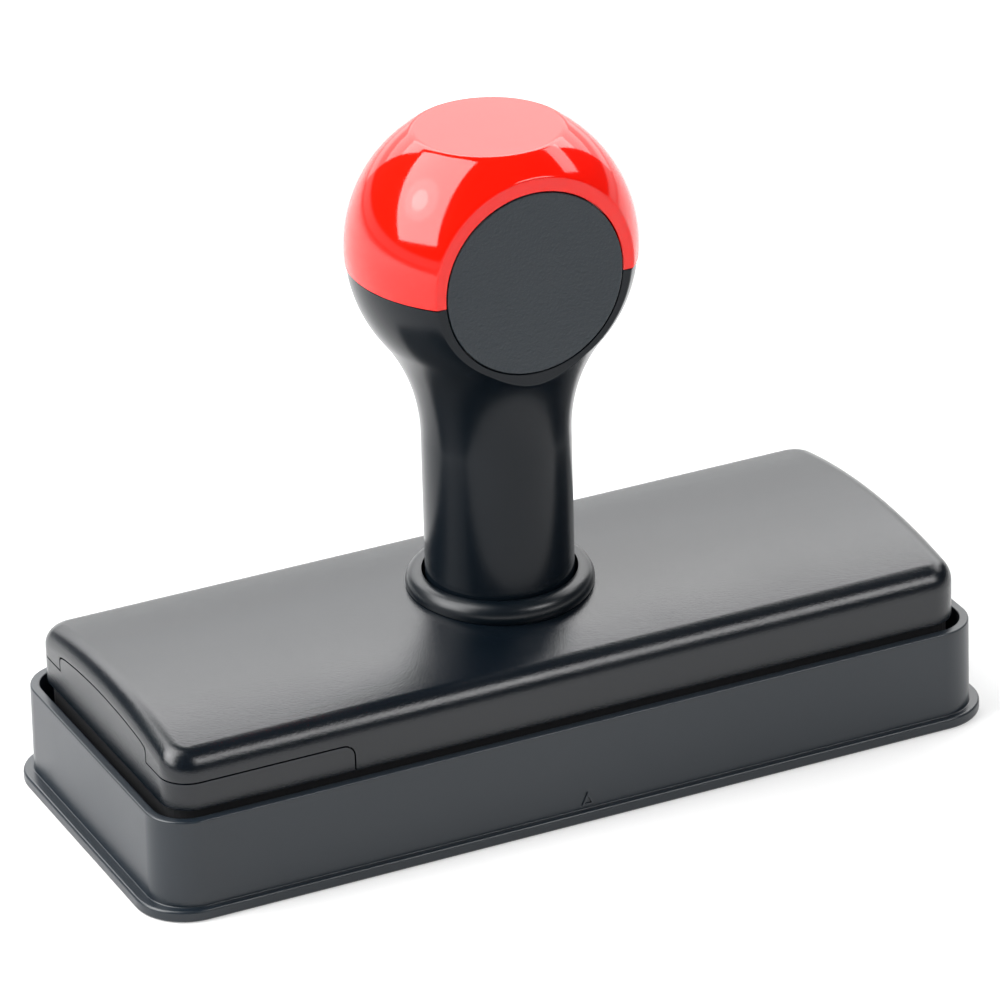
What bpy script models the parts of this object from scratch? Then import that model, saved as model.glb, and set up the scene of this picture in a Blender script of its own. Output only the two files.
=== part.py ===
"""Self inking stamp with a ball handle, modelled in metres, +Z up.

The origin is the middle of the tray's underside.  X runs along the stamp, -Y is its front.
At rest the printing unit stands in its tray, with the handle up and the ink cartridge home.
"""
import bpy
import bmesh
from math import acos, atan2, cos, pi, radians, sin, sqrt
from mathutils import Matrix, Vector

MM = 0.001

# Clearances
GAP = 0.3 * MM              # between pieces that touch or slide closely
NECK_GAP = 0.43 * MM        # between the neck and the collar round it

# Tray that the stamp stands in
TRAY_LENGTH = 109.0 * MM
TRAY_WIDTH = 45.3 * MM
TRAY_CORNER = 6.4 * MM
FLANGE_HEIGHT = 1.45 * MM
FLANGE_OVERHANG_X = 1.4 * MM
FLANGE_OVERHANG_Y = 0.8 * MM
FLANGE_EDGE = 0.35 * MM
TRAY_HEIGHT = 12.4 * MM
TRAY_WALL = 1.15 * MM
TRAY_DRAFT = 0.13 * MM
TRAY_FLOOR = 1.8 * MM
RIM_EDGE = 0.2 * MM
REST_RIB_HEIGHT = 1.9 * MM
REST_RIB_WIDTH = 2.0 * MM
REST_RIB_LENGTH = 34.0 * MM

# Top cover
TRAY_GAP_X = 0.9 * MM       # between the cover's ends and the tray's wall
TRAY_GAP_Y = 0.55 * MM      # between the cover's sides and the tray's wall
COVER_CORNER = 3.6 * MM
COVER_WALL = 1.3 * MM
COVER_CROWN = 21.6 * MM     # height of the dome's ridge above the table
DOME_RADIUS = 91.0 * MM
COVER_FILLET = 2.4 * MM

# Lower housing
CHASSIS_INSET = 0.65 * MM   # how far its walls stand back from the cover's
CHASSIS_WALL = 1.2 * MM
CHASSIS_HEIGHT = 8.6 * MM
CHASSIS_FLANGE = 1.4 * MM
CHASSIS_CORNER = 3.0 * MM

# Handle
BALL_RADIUS = 17.05 * MM
BALL_HEIGHT = 64.7 * MM     # centre of the ball above the table
BALL_STEP = 0.2 * MM        # how much smaller the lower half is than the cap
CAP_SPLIT_DROP = 1.3 * MM   # seam below the ball's centre
FACET_HEIGHT = 14.6 * MM    # flat crown above the ball's centre
FACET_EDGE = 0.35 * MM
NECK_RADIUS = 8.8 * MM
NECK_FLARE = 22.0 * MM      # radius of the hollow curve between neck and ball
NECK_END = 19.6 * MM        # height of the neck's lower end
FACE_DISTANCE = 11.6 * MM   # flat face in front of the ball's centre
DISC_RADIUS = 10.9 * MM
DISC_DROP = 0.4 * MM        # its centre below the ball's
DISC_THICKNESS = 1.3 * MM
DISC_PROUD = 0.1 * MM
POST_RADIUS = 5.0 * MM
NECK_BORE = 6.4 * MM        # radius
CUP_RADIUS = 8.5 * MM
CUP_FLOOR = 50.0 * MM
SCREW_SEAT = 24.0 * MM
SPIGOT_DEPTH = 5.4 * MM
SPIGOT_WALL = 1.3 * MM
CAP_ROOF = 3.3 * MM

# Collar that guides the neck
COLLAR_WIDTH = 1.87 * MM    # from the neck's hole to its outside
COLLAR_BEAD = 1.5 * MM      # radius of its rounded ring
COLLAR_TOP = 24.0 * MM
COLLAR_SLEEVE = 0.62 * MM
COLLAR_END = 19.2 * MM

# Printing plate and its carriage
DIE_THICKNESS = 3.3 * MM
DIE_STANDOFF = 0.8 * MM     # how far the plate stands out of its frame
FRAME_WALL = 1.2 * MM
CARRIAGE_PLATE = 1.8 * MM
BRIDGE_WIDTH = 14.0 * MM
WINDOW_MARGIN = 1.2 * MM
MOUTH_GAP = 0.4 * MM        # between the carriage and the edge of the mouth it moves in
EAR_WIDTH = 5.6 * MM
EAR_THICKNESS = 1.4 * MM
BOSS_RADIUS = 2.8 * MM
BOSS_HEIGHT = 5.0 * MM
DIE_RECESS = 3.0 * MM       # plate above the lower housing's edge at rest

# Return springs
SPRING_RADIUS = 1.6 * MM
SPRING_WIRE = 0.25 * MM     # radius of the wire
SPRING_TURNS = 3.5
SPRING_FROM_SIDE = 5.0 * MM # from the carriage's side to the spring's axis
PEG_RADIUS = 0.8 * MM
PEG_HEIGHT = 1.6 * MM

# Ink cartridge
WING_LENGTH = 22.75 * MM
WING_HEIGHT = 16.3 * MM     # seam above the wings
WING_CORNER = 1.5 * MM
TONGUE_WIDTH = 25.4 * MM
TONGUE_CORNER = 0.8 * MM
PAD_FRAME_HEIGHT = 2.9 * MM
PAD_FRAME_ROOF = 1.2 * MM
PAD_FRAME_WALL = 1.1 * MM
RUNNER_WIDTH = 1.2 * MM
SLOT_GAP = 0.5 * MM         # between the slot's sides and the post
SLOT_ROOM = 3.0 * MM        # spare length at the slot's closed end
TAIL_ROOM = 4.1 * MM        # from the ends of its two arms to the cover's end wall

# Guide rails under the cover
RAIL_WEB = 1.0 * MM
RAIL_LIP = 1.0 * MM
RAIL_START = 1.65 * MM      # from the wings' seam
RAIL_SHORT = 3.6 * MM       # from the end wall
RAIL_OVERLAP = 0.9 * MM     # of its web with the screw bosses

# Screws
SCREW_FROM_WINGS = 4.15 * MM
SCREW_FROM_END = 5.6 * MM
SCREW_FROM_SIDE = 1.4 * MM  # from the lower housing's inner wall
SIDE_LEDGE = 3.8 * MM       # width of the bottom flange along the sides
SCREW_BOSS = 1.9 * MM
SCREW_SHANK = 1.0 * MM
SCREW_HEAD = 1.5 * MM
SCREW_HEAD_HEIGHT = 0.7 * MM
SCREW_SEAT_DEPTH = 1.1 * MM
SCREW_GRIP = 5.0 * MM
TIE_SHANK = 1.5 * MM
TIE_HEAD = 3.0 * MM
TIE_HEAD_HEIGHT = 2.2 * MM
TIE_REACH = 4.7 * MM        # into the carriage's boss
WASHER_RADIUS = 4.0 * MM
WASHER_THICKNESS = 0.6 * MM

# Mesh fineness
ARC_STEPS = 6               # per quarter round on small edges
ROUND_STEPS = 56            # round the ball, neck and collar
PIN_STEPS = 16

# Derived sizes
COVER_HALF_X = TRAY_LENGTH / 2 - FLANGE_OVERHANG_X - TRAY_DRAFT - TRAY_WALL - TRAY_GAP_X
COVER_HALF_Y = TRAY_WIDTH / 2 - FLANGE_OVERHANG_Y - TRAY_DRAFT - TRAY_WALL - TRAY_GAP_Y
CHASSIS_HALF_X = COVER_HALF_X - CHASSIS_INSET
CHASSIS_HALF_Y = COVER_HALF_Y - CHASSIS_INSET
CHASSIS_BOTTOM = TRAY_FLOOR + REST_RIB_HEIGHT + GAP
CHASSIS_TOP = CHASSIS_BOTTOM + CHASSIS_HEIGHT
COVER_BOTTOM = CHASSIS_TOP + GAP
DIE_BOTTOM = CHASSIS_BOTTOM + DIE_RECESS
DIE_TOP = DIE_BOTTOM + DIE_THICKNESS
PLATE_BOTTOM = DIE_TOP + GAP
PLATE_TOP = PLATE_BOTTOM + CARRIAGE_PLATE
FRAME_BOTTOM = DIE_BOTTOM + DIE_STANDOFF
SPRING_X = CHASSIS_HALF_X - CHASSIS_WALL - GAP - SPRING_RADIUS
OPENING_HALF_X = SPRING_X - SPRING_RADIUS - GAP
OPENING_HALF_Y = CHASSIS_HALF_Y - CHASSIS_WALL - SIDE_LEDGE
FRAME_HALF_X = OPENING_HALF_X - MOUTH_GAP
FRAME_HALF_Y = OPENING_HALF_Y - MOUTH_GAP
SPRING_Y = FRAME_HALF_Y - SPRING_FROM_SIDE
DIE_HALF_X = FRAME_HALF_X - FRAME_WALL - GAP
DIE_HALF_Y = FRAME_HALF_Y - FRAME_WALL - GAP
LEDGE_TOP = CHASSIS_BOTTOM + CHASSIS_FLANGE
EAR_BOTTOM = PLATE_TOP - EAR_THICKNESS
EAR_END = CHASSIS_HALF_X - CHASSIS_WALL - GAP
NECK_HOLE = NECK_RADIUS + NECK_GAP
SLEEVE_RADIUS = NECK_HOLE + COLLAR_SLEEVE
COLLAR_RADIUS = NECK_HOLE + COLLAR_WIDTH
POST_END = PLATE_TOP + GAP
RECESS_FACE = FACE_DISTANCE + DISC_PROUD - DISC_THICKNESS - GAP
CAP_SPLIT = BALL_HEIGHT - CAP_SPLIT_DROP
PAD_BOTTOM = COVER_BOTTOM
PAD_FRAME_TOP = PAD_BOTTOM + PAD_FRAME_HEIGHT
RUNNER_BOTTOM = PAD_FRAME_TOP - PAD_FRAME_ROOF
COVER_SCREW_Y = CHASSIS_HALF_Y - CHASSIS_WALL - SCREW_FROM_SIDE
WINGS_END = -COVER_HALF_X + WING_LENGTH
COVER_END = COVER_HALF_X - COVER_WALL
WEB_INNER = COVER_SCREW_Y - SCREW_BOSS + RAIL_OVERLAP - RAIL_WEB
RAIL_INNER = WEB_INNER - RUNNER_WIDTH
PAD_FRAME_HALF = RAIL_INNER - GAP
CARTRIDGE_TAIL = COVER_END - TAIL_ROOM
SLOT_RADIUS = POST_RADIUS + SLOT_GAP


def remove_everything():
    for item in list(bpy.data.objects):
        bpy.data.objects.remove(item, do_unlink=True)


def make_material(name, colour, roughness, metallic=0.0):
    material = bpy.data.materials.new(name)
    material.use_nodes = True
    shader = material.node_tree.nodes["Principled BSDF"]
    shader.inputs["Base Color"].default_value = (*colour, 1.0)
    shader.inputs["Roughness"].default_value = roughness
    shader.inputs["Metallic"].default_value = metallic
    material.diffuse_color = (*colour, 1.0)
    return material


def add_object(name, mesh_builder, material=None, smooth_angle=radians(35)):
    """Turn a finished bmesh into an object, with its faces pointing out."""
    bmesh.ops.recalc_face_normals(mesh_builder, faces=mesh_builder.faces)
    mesh = bpy.data.meshes.new(name)
    mesh_builder.to_mesh(mesh)
    mesh_builder.free()
    mesh.shade_smooth()
    mesh.set_sharp_from_angle(angle=smooth_angle)
    obj = bpy.data.objects.new(name, mesh)
    bpy.context.scene.collection.objects.link(obj)
    if material:
        mesh.materials.append(material)
    return obj


def add_boolean(target, tool, operation):
    modifier = target.modifiers.new(operation.lower(), "BOOLEAN")
    modifier.operation = operation
    modifier.solver = "EXACT"
    modifier.object = tool
    tool.hide_render = True
    tool.display_type = "WIRE"


def cut(target, *tools):
    for tool in tools:
        add_boolean(target, tool, "DIFFERENCE")


def fuse(target, *tools):
    for tool in tools:
        add_boolean(target, tool, "UNION")


def arc(centre_r, centre_z, radius, start, end, steps):
    """Points of an arc in a plane, angles in degrees from +X towards +Z."""
    points = []
    for i in range(steps + 1):
        angle = radians(start + (end - start) * i / steps)
        points.append((centre_r + radius * cos(angle), centre_z + radius * sin(angle)))
    return points


def rounded_outline(half_x, half_y, corner, steps=ARC_STEPS, end_steps=1):
    """Rounded rectangle, anticlockwise from the front right corner.

    The right half is listed first and the left half mirrors it, so that point i and
    point -1 - i share one y.
    """
    right = arc(half_x - corner, -half_y + corner, corner, -90, 0, steps)
    for i in range(1, end_steps):
        right.append((half_x, (half_y - corner) * (2 * i / end_steps - 1)))
    right += arc(half_x - corner, half_y - corner, corner, 0, 90, steps)
    left = [(-x, y) for x, y in reversed(right)]
    return right + left


def stack_rings(mesh_builder, rings):
    """Join rings of equally many 3-D points with quads and return their vertices."""
    loops = [[mesh_builder.verts.new(p) for p in ring] for ring in rings]
    for lower, upper in zip(loops, loops[1:]):
        count = len(lower)
        for i in range(count):
            j = (i + 1) % count
            mesh_builder.faces.new((lower[i], lower[j], upper[j], upper[i]))
    return loops


def prism(name, outline, bottom, top, material=None):
    """Straight extrusion of an outline in the XY plane."""
    builder = bmesh.new()
    rings = [[(x, y, z) for x, y in outline] for z in (bottom, top)]
    lower, upper = stack_rings(builder, rings)
    builder.faces.new(lower)
    builder.faces.new(upper)
    return add_object(name, builder, material)


def extrude_along(name, outline, axis, start, end, material=None):
    """Extrusion of an outline along X (outline in y, z) or along Y (outline in x, z)."""
    builder = bmesh.new()
    rings = []
    for place in (start, end):
        if axis == "X":
            rings.append([(place, a, b) for a, b in outline])
        else:
            rings.append([(a, place, b) for a, b in outline])
    lower, upper = stack_rings(builder, rings)
    builder.faces.new(lower)
    builder.faces.new(upper)
    return add_object(name, builder, material)


def block(name, x_range, y_range, z_range, material=None):
    outline = [(x_range[0], y_range[0]), (x_range[1], y_range[0]),
               (x_range[1], y_range[1]), (x_range[0], y_range[1])]
    return prism(name, outline, z_range[0], z_range[1], material)


def turned(name, profile, steps=ROUND_STEPS, material=None, place=(0.0, 0.0)):
    """Solid of revolution about the vertical line through place.

    profile is a closed outline of (radius, height); points on the axis become poles.
    """
    builder = bmesh.new()
    columns = []
    for radius, height in profile:
        if radius < 1e-7:
            columns.append([builder.verts.new((place[0], place[1], height))])
            continue
        ring = []
        for k in range(steps):
            angle = 2 * pi * k / steps
            ring.append(builder.verts.new((place[0] + radius * cos(angle),
                                           place[1] + radius * sin(angle), height)))
        columns.append(ring)
    count = len(columns)
    for i in range(count):
        first, second = columns[i], columns[(i + 1) % count]
        if len(first) == 1 and len(second) == 1:
            continue
        for k in range(steps):
            m = (k + 1) % steps
            corners = []
            for vertex in (first[k % len(first)], first[m % len(first)],
                           second[m % len(second)], second[k % len(second)]):
                if vertex not in corners:
                    corners.append(vertex)
            builder.faces.new(corners)
    return add_object(name, builder, material)


def pin(name, radius, bottom, top, place=(0.0, 0.0), steps=PIN_STEPS, material=None):
    """Upright cylinder with plain flat ends."""
    circle = arc(0.0, 0.0, radius, 0, 360, steps)[:-1]
    return prism(name, [(place[0] + x, place[1] + y) for x, y in circle], bottom, top, material)


def stepped_hole(name, wide, narrow, bottom, step, top, place):
    """Cutter for a hole with a wider seat below, such as a countersunk screw's."""
    profile = [(0.0, top), (narrow, top), (narrow, step), (wide, step), (wide, bottom),
               (0.0, bottom)]
    return turned(name, profile, PIN_STEPS, None, place)


def dome_height(y, crown=COVER_CROWN, radius=DOME_RADIUS):
    """Height of a dome that is bowed across the stamp and straight along it."""
    return crown - radius + sqrt(radius * radius - y * y)


def domed_block(name, inset, bottom, material=None, end_steps=14):
    """The cover's outer form, or the same form a wall's thickness inside it."""
    fillet = COVER_FILLET - inset
    builder = bmesh.new()
    rings = []
    base = rounded_outline(COVER_HALF_X - inset, COVER_HALF_Y - inset,
                           COVER_CORNER - inset, ARC_STEPS, end_steps)
    rings.append([(x, y, bottom) for x, y in base])
    for step in range(ARC_STEPS + 1):
        angle = 0.5 * pi * step / ARC_STEPS
        shrink = inset + fillet * (1 - cos(angle))
        outline = rounded_outline(COVER_HALF_X - shrink, COVER_HALF_Y - shrink,
                                  COVER_CORNER - shrink, ARC_STEPS, end_steps)
        drop = inset + fillet * (1 - sin(angle))
        rings.append([(x, y, dome_height(y) - drop) for x, y in outline])
    loops = stack_rings(builder, rings)
    builder.faces.new(loops[0])
    crown = loops[-1]
    half = len(crown) // 2
    for i in range(half - 1):
        builder.faces.new((crown[i], crown[i + 1], crown[-2 - i], crown[-1 - i]))
    return add_object(name, builder, material)


def make_tray(material):
    """One moulding: flange, tapered wall with a thin lip, floor and two rest ribs."""
    half_x = TRAY_LENGTH / 2
    half_y = TRAY_WIDTH / 2
    wall_x = half_x - FLANGE_OVERHANG_X
    wall_y = half_y - FLANGE_OVERHANG_Y
    wall_corner = TRAY_CORNER - 0.5 * (FLANGE_OVERHANG_X + FLANGE_OVERHANG_Y)
    sections = [
        (half_x - FLANGE_EDGE, half_y - FLANGE_EDGE, TRAY_CORNER - FLANGE_EDGE, 0.0),
        (half_x, half_y, TRAY_CORNER, FLANGE_EDGE),
    ]
    for r, z in arc(-FLANGE_EDGE, FLANGE_HEIGHT - FLANGE_EDGE, FLANGE_EDGE, 0, 90, 3):
        sections.append((half_x + r, half_y + r, TRAY_CORNER + r, z))
    sections.append((wall_x, wall_y, wall_corner, FLANGE_HEIGHT))
    lean = TRAY_DRAFT
    for r, z in arc(-RIM_EDGE, TRAY_HEIGHT - RIM_EDGE, RIM_EDGE, 0, 90, 3):
        sections.append((wall_x - lean + r, wall_y - lean + r, wall_corner - lean + r, z))
    inner = lean + TRAY_WALL
    for r, z in arc(RIM_EDGE / 2, TRAY_HEIGHT - RIM_EDGE / 2, RIM_EDGE / 2, 90, 180, 2):
        sections.append((wall_x - inner + r, wall_y - inner + r, wall_corner - inner + r, z))
    sections.append((wall_x - TRAY_WALL, wall_y - TRAY_WALL, wall_corner - TRAY_WALL,
                     TRAY_FLOOR))
    builder = bmesh.new()
    rings = []
    for size_x, size_y, corner, height in sections:
        outline = rounded_outline(size_x, size_y, corner)
        rings.append([(x, y, height) for x, y in outline])
    loops = stack_rings(builder, rings)
    builder.faces.new(loops[0])
    builder.faces.new(loops[-1])
    tray = add_object("base_tray", builder, material)
    rib_x = (OPENING_HALF_X + CHASSIS_HALF_X) / 2
    for side in (-1, 1):
        rib = block("rest_rib_form",
                    (side * rib_x - REST_RIB_WIDTH / 2, side * rib_x + REST_RIB_WIDTH / 2),
                    (-REST_RIB_LENGTH / 2, REST_RIB_LENGTH / 2),
                    (TRAY_FLOOR / 2, TRAY_FLOOR + REST_RIB_HEIGHT))
        fuse(tray, rib)
    return tray


def cover_screw_places():
    ends = (WINGS_END + SCREW_FROM_WINGS, COVER_END - SCREW_FROM_END)
    return [(x, side * COVER_SCREW_Y) for x in ends for side in (-1, 1)]


def make_chassis(material):
    """Open frame under the cover: walls, bottom flange, screw bosses and spring pegs."""
    outline = rounded_outline(CHASSIS_HALF_X, CHASSIS_HALF_Y, CHASSIS_CORNER)
    chassis = prism("chassis", outline, CHASSIS_BOTTOM, CHASSIS_TOP, material)
    room = prism("chassis_room",
                 rounded_outline(CHASSIS_HALF_X - CHASSIS_WALL, CHASSIS_HALF_Y - CHASSIS_WALL,
                                 CHASSIS_CORNER - CHASSIS_WALL),
                 LEDGE_TOP, CHASSIS_TOP + MM)
    mouth = prism("chassis_mouth", rounded_outline(OPENING_HALF_X, OPENING_HALF_Y, MM),
                  CHASSIS_BOTTOM - MM, LEDGE_TOP + MM)
    cut(chassis, room, mouth)
    for place in cover_screw_places():
        fuse(chassis, pin("chassis_boss", SCREW_BOSS, LEDGE_TOP - 0.4 * MM,
                          CHASSIS_TOP - 0.1 * MM, place))
        cut(chassis, stepped_hole("screw_way", SCREW_HEAD + GAP, SCREW_SHANK + GAP,
                                  CHASSIS_BOTTOM - MM, CHASSIS_BOTTOM + SCREW_SEAT_DEPTH,
                                  CHASSIS_TOP + MM, place))
    for place in spring_places():
        fuse(chassis, pin("spring_peg", PEG_RADIUS, LEDGE_TOP - 0.4 * MM,
                          LEDGE_TOP + PEG_HEIGHT, place, 12))
    return chassis


def cartridge_seam(slack):
    """Cutters for the end of the cover that belongs to the cartridge.

    slack is added all round, so the cover is cut a little wide and the cartridge a
    little narrow, and the seam between them is even.
    """
    left = -COVER_HALF_X - COVER_WALL
    right = WINGS_END + slack
    top = WING_HEIGHT + slack
    corner = WING_CORNER + slack
    outline = [(left, COVER_BOTTOM - MM), (right, COVER_BOTTOM - MM)]
    outline += arc(right - corner, top - corner, corner, 0, 90, ARC_STEPS)
    outline += [(left, top)]
    wings = extrude_along("wing_form", outline, "Y", -2 * COVER_HALF_Y, 2 * COVER_HALF_Y)

    half = TONGUE_WIDTH / 2 + slack
    corner = TONGUE_CORNER
    drop = COVER_FILLET + 0.05 * MM - slack
    outline = [(-half, COVER_BOTTOM - MM), (half, COVER_BOTTOM - MM)]
    shoulder = dome_height(half) - drop - corner
    outline += arc(half - corner, shoulder, corner, 0, 80, 3)
    steps = 12
    for i in range(1, steps):
        y = (half - corner) * (1 - 2 * i / steps)
        outline.append((y, dome_height(y) - drop))
    outline += arc(-half + corner, shoulder, corner, 100, 180, 3)
    tongue = extrude_along("tongue_form", outline, "X", left, -COVER_HALF_X + COVER_WALL + MM)
    return wings, tongue


def make_cover(material):
    """Domed shell with screw bosses, cartridge rails, collar hole and cartridge gap."""
    cover = domed_block("top_cover", 0.0, COVER_BOTTOM, material)
    cut(cover, domed_block("cover_room", COVER_WALL, COVER_BOTTOM - MM))
    rib_top = dome_height(WEB_INNER) - 0.7 * COVER_WALL
    for side in (-1, 1):
        outline = [(RAIL_INNER, RUNNER_BOTTOM - GAP - RAIL_LIP),
                   (WEB_INNER + RAIL_WEB, RUNNER_BOTTOM - GAP - RAIL_LIP),
                   (WEB_INNER + RAIL_WEB, rib_top), (WEB_INNER, rib_top),
                   (WEB_INNER, RUNNER_BOTTOM - GAP), (RAIL_INNER, RUNNER_BOTTOM - GAP)]
        outline = [(side * y, z) for y, z in outline]
        fuse(cover, extrude_along("rail_form", outline, "X", WINGS_END + RAIL_START,
                                  COVER_END - RAIL_SHORT))
    boss_top = dome_height(COVER_SCREW_Y) - 0.6 * COVER_WALL
    for place in cover_screw_places():
        fuse(cover, pin("cover_boss", SCREW_BOSS, COVER_BOTTOM, boss_top, place))
    for place in cover_screw_places():
        cut(cover, pin("pilot_hole", SCREW_SHANK + GAP, COVER_BOTTOM - MM,
                       COVER_BOTTOM + SCREW_GRIP + GAP, place))
    cut(cover, pin("collar_hole", SLEEVE_RADIUS + GAP, COLLAR_END - MM, COVER_CROWN + MM,
                   steps=ROUND_STEPS))
    cut(cover, *cartridge_seam(GAP / 2))
    return cover


def make_collar(material):
    """Guide bush: a rounded ring that sits on the dome and a sleeve through it."""
    middle = COLLAR_RADIUS - COLLAR_BEAD
    start = acos((NECK_HOLE - middle) / COLLAR_BEAD) * 180 / pi
    under = COLLAR_END + MM
    profile = arc(middle, COLLAR_TOP - COLLAR_BEAD, COLLAR_BEAD, start, -60, 12)
    profile += [(profile[-1][0], under), (SLEEVE_RADIUS, under),
                (SLEEVE_RADIUS, COLLAR_END), (NECK_HOLE, COLLAR_END)]
    collar = turned("neck_collar", profile, ROUND_STEPS, material)
    reach = COLLAR_RADIUS + MM
    outline = [(reach, COLLAR_END), (-reach, COLLAR_END)]
    steps = 24
    for i in range(steps + 1):
        y = reach * (2 * i / steps - 1)
        outline.append((y, dome_height(y) + GAP))
    saddle = extrude_along("dome_form", outline, "X", -reach, reach)
    cut(saddle, pin("sleeve_form", SLEEVE_RADIUS, COLLAR_END - MM, COLLAR_TOP + MM,
                    steps=ROUND_STEPS))
    cut(collar, saddle)
    return collar


def flare_points(sphere_radius, steps):
    """Ball, hollow flare and top of the neck, from the seam down."""
    rise = sqrt((sphere_radius + NECK_FLARE) ** 2 - (NECK_RADIUS + NECK_FLARE) ** 2)
    centre = (NECK_RADIUS + NECK_FLARE, BALL_HEIGHT - rise)
    touch = atan2(-rise, NECK_RADIUS + NECK_FLARE)
    seam = -atan2(CAP_SPLIT_DROP, sqrt(sphere_radius ** 2 - CAP_SPLIT_DROP ** 2))
    points = arc(0.0, BALL_HEIGHT, sphere_radius, seam * 180 / pi, touch * 180 / pi, steps)
    flare = arc(centre[0], centre[1], NECK_FLARE, 180 + touch * 180 / pi, 180, steps // 2)
    return points + flare[1:]


def face_cutters():
    """Flat front of the ball and the round recess that the disc lies in."""
    flat = block("front_flat", (-BALL_RADIUS, BALL_RADIUS), (-2 * BALL_RADIUS, -FACE_DISTANCE),
                 (BALL_HEIGHT - BALL_RADIUS, BALL_HEIGHT + BALL_RADIUS))
    recess = front_disc_form("disc_recess", DISC_RADIUS + GAP, -2 * BALL_RADIUS, -RECESS_FACE)
    return flat, recess


def front_disc_form(name, radius, front, back, material=None):
    """Round plate whose axis runs along Y, a little below the ball's centre."""
    outline = arc(0.0, BALL_HEIGHT - DISC_DROP, radius, 0, 360, ROUND_STEPS)[:-1]
    return extrude_along(name, outline, "Y", front, back, material)


def make_handle(material):
    """Lower half of the ball and its neck, bored from above for the tie screw."""
    edge = 0.4 * MM
    profile = flare_points(BALL_RADIUS - BALL_STEP, 12)
    profile += [(NECK_RADIUS, NECK_END + edge), (NECK_RADIUS - edge, NECK_END),
                (TIE_SHANK + GAP, NECK_END), (TIE_SHANK + GAP, SCREW_SEAT),
                (NECK_BORE, SCREW_SEAT), (NECK_BORE, CUP_FLOOR), (CUP_RADIUS, CUP_FLOOR),
                (CUP_RADIUS, CAP_SPLIT)]
    handle = turned("handle_body", profile, ROUND_STEPS, material)
    cut(handle, *face_cutters())
    return handle


def make_press_post(material):
    """Sleeve under the neck that fits over the carriage's boss and reaches its plate."""
    top = NECK_END - GAP
    socket = BOSS_RADIUS + GAP
    ceiling = PLATE_TOP + BOSS_HEIGHT + GAP
    profile = [(POST_RADIUS, top), (POST_RADIUS, POST_END), (socket, POST_END),
               (socket, ceiling), (TIE_SHANK + GAP, ceiling), (TIE_SHANK + GAP, top)]
    return turned("press_post", profile, 32, material)


def make_cap(material):
    """Upper half of the ball: facetted crown, and a spigot that plugs into the handle."""
    bottom = CAP_SPLIT + GAP
    start = acos((BALL_HEIGHT - bottom) / BALL_RADIUS) * 180 / pi - 90
    facet = sqrt(BALL_RADIUS ** 2 - FACET_HEIGHT ** 2)
    top = BALL_HEIGHT + FACET_HEIGHT
    brow = atan2(FACET_HEIGHT - FACET_EDGE / 2, facet + FACET_EDGE / 2) * 180 / pi
    profile = [(0.0, top), (facet - FACET_EDGE, top)]
    profile += arc(0.0, BALL_HEIGHT, BALL_RADIUS, brow, start, 14)
    spigot = CUP_RADIUS - GAP
    profile += [(spigot, bottom), (spigot, bottom - SPIGOT_DEPTH),
                (spigot - SPIGOT_WALL, bottom - SPIGOT_DEPTH),
                (spigot - SPIGOT_WALL, top - CAP_ROOF), (0.0, top - CAP_ROOF)]
    cap = turned("ball_cap", profile, ROUND_STEPS, material)
    cut(cap, *face_cutters())
    return cap


def make_front_disc(material):
    front = -FACE_DISTANCE - DISC_PROUD
    return front_disc_form("front_disc", DISC_RADIUS, front, front + DISC_THICKNESS, material)


def make_tie_screw(material):
    """Screw down the middle of the handle that draws it onto the carriage's boss."""
    seat = SCREW_SEAT + WASHER_THICKNESS + 2 * GAP
    end = PLATE_TOP + BOSS_HEIGHT - TIE_REACH
    crown = 0.5 * MM
    profile = [(0.0, seat + TIE_HEAD_HEIGHT), (TIE_HEAD - crown, seat + TIE_HEAD_HEIGHT),
               (TIE_HEAD, seat + TIE_HEAD_HEIGHT - crown), (TIE_HEAD, seat),
               (TIE_SHANK, seat), (TIE_SHANK, end + crown), (TIE_SHANK - crown, end), (0.0, end)]
    return turned("tie_screw", profile, 32, material)


def make_tie_washer(material):
    bottom = SCREW_SEAT + GAP
    inner = TIE_SHANK + GAP
    profile = [(inner, bottom + WASHER_THICKNESS), (WASHER_RADIUS, bottom + WASHER_THICKNESS),
               (WASHER_RADIUS, bottom), (inner, bottom)]
    return turned("tie_washer", profile, 32, material)


def window_outline(side, margin):
    """Outline of one of the carriage's two windows, or of the felt that fills it."""
    near = BRIDGE_WIDTH / 2 + margin
    far = DIE_HALF_X - WINDOW_MARGIN - margin
    half_y = DIE_HALF_Y - WINDOW_MARGIN - margin
    shape = rounded_outline((far - near) / 2, half_y, MM)
    return [(x + side * (near + far) / 2, y) for x, y in shape]


def make_carriage(material):
    """Frame that holds the printing plate, with windows, spring ears and a centre boss."""
    outline = rounded_outline(FRAME_HALF_X, FRAME_HALF_Y, 1.5 * MM)
    carriage = prism("die_carriage", outline, FRAME_BOTTOM, PLATE_TOP, material)
    pocket = prism("die_pocket",
                   rounded_outline(DIE_HALF_X + GAP, DIE_HALF_Y + GAP, MM + GAP),
                   FRAME_BOTTOM - MM, PLATE_BOTTOM)
    cut(carriage, pocket)
    for side in (-1, 1):
        cut(carriage, prism("felt_window", window_outline(side, 0.0), PLATE_BOTTOM - MM,
                            PLATE_TOP + MM))
        for across in (-1, 1):
            reach = sorted((side * (FRAME_HALF_X - 0.4 * MM), side * EAR_END))
            fuse(carriage, block("spring_ear", reach,
                                 (across * SPRING_Y - EAR_WIDTH / 2,
                                  across * SPRING_Y + EAR_WIDTH / 2),
                                 (EAR_BOTTOM, PLATE_TOP)))
    fuse(carriage, pin("centre_boss", BOSS_RADIUS, PLATE_TOP - MM, PLATE_TOP + BOSS_HEIGHT))
    cut(carriage, pin("boss_hole", TIE_SHANK + GAP, PLATE_TOP, PLATE_TOP + BOSS_HEIGHT + MM))
    return carriage


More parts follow.
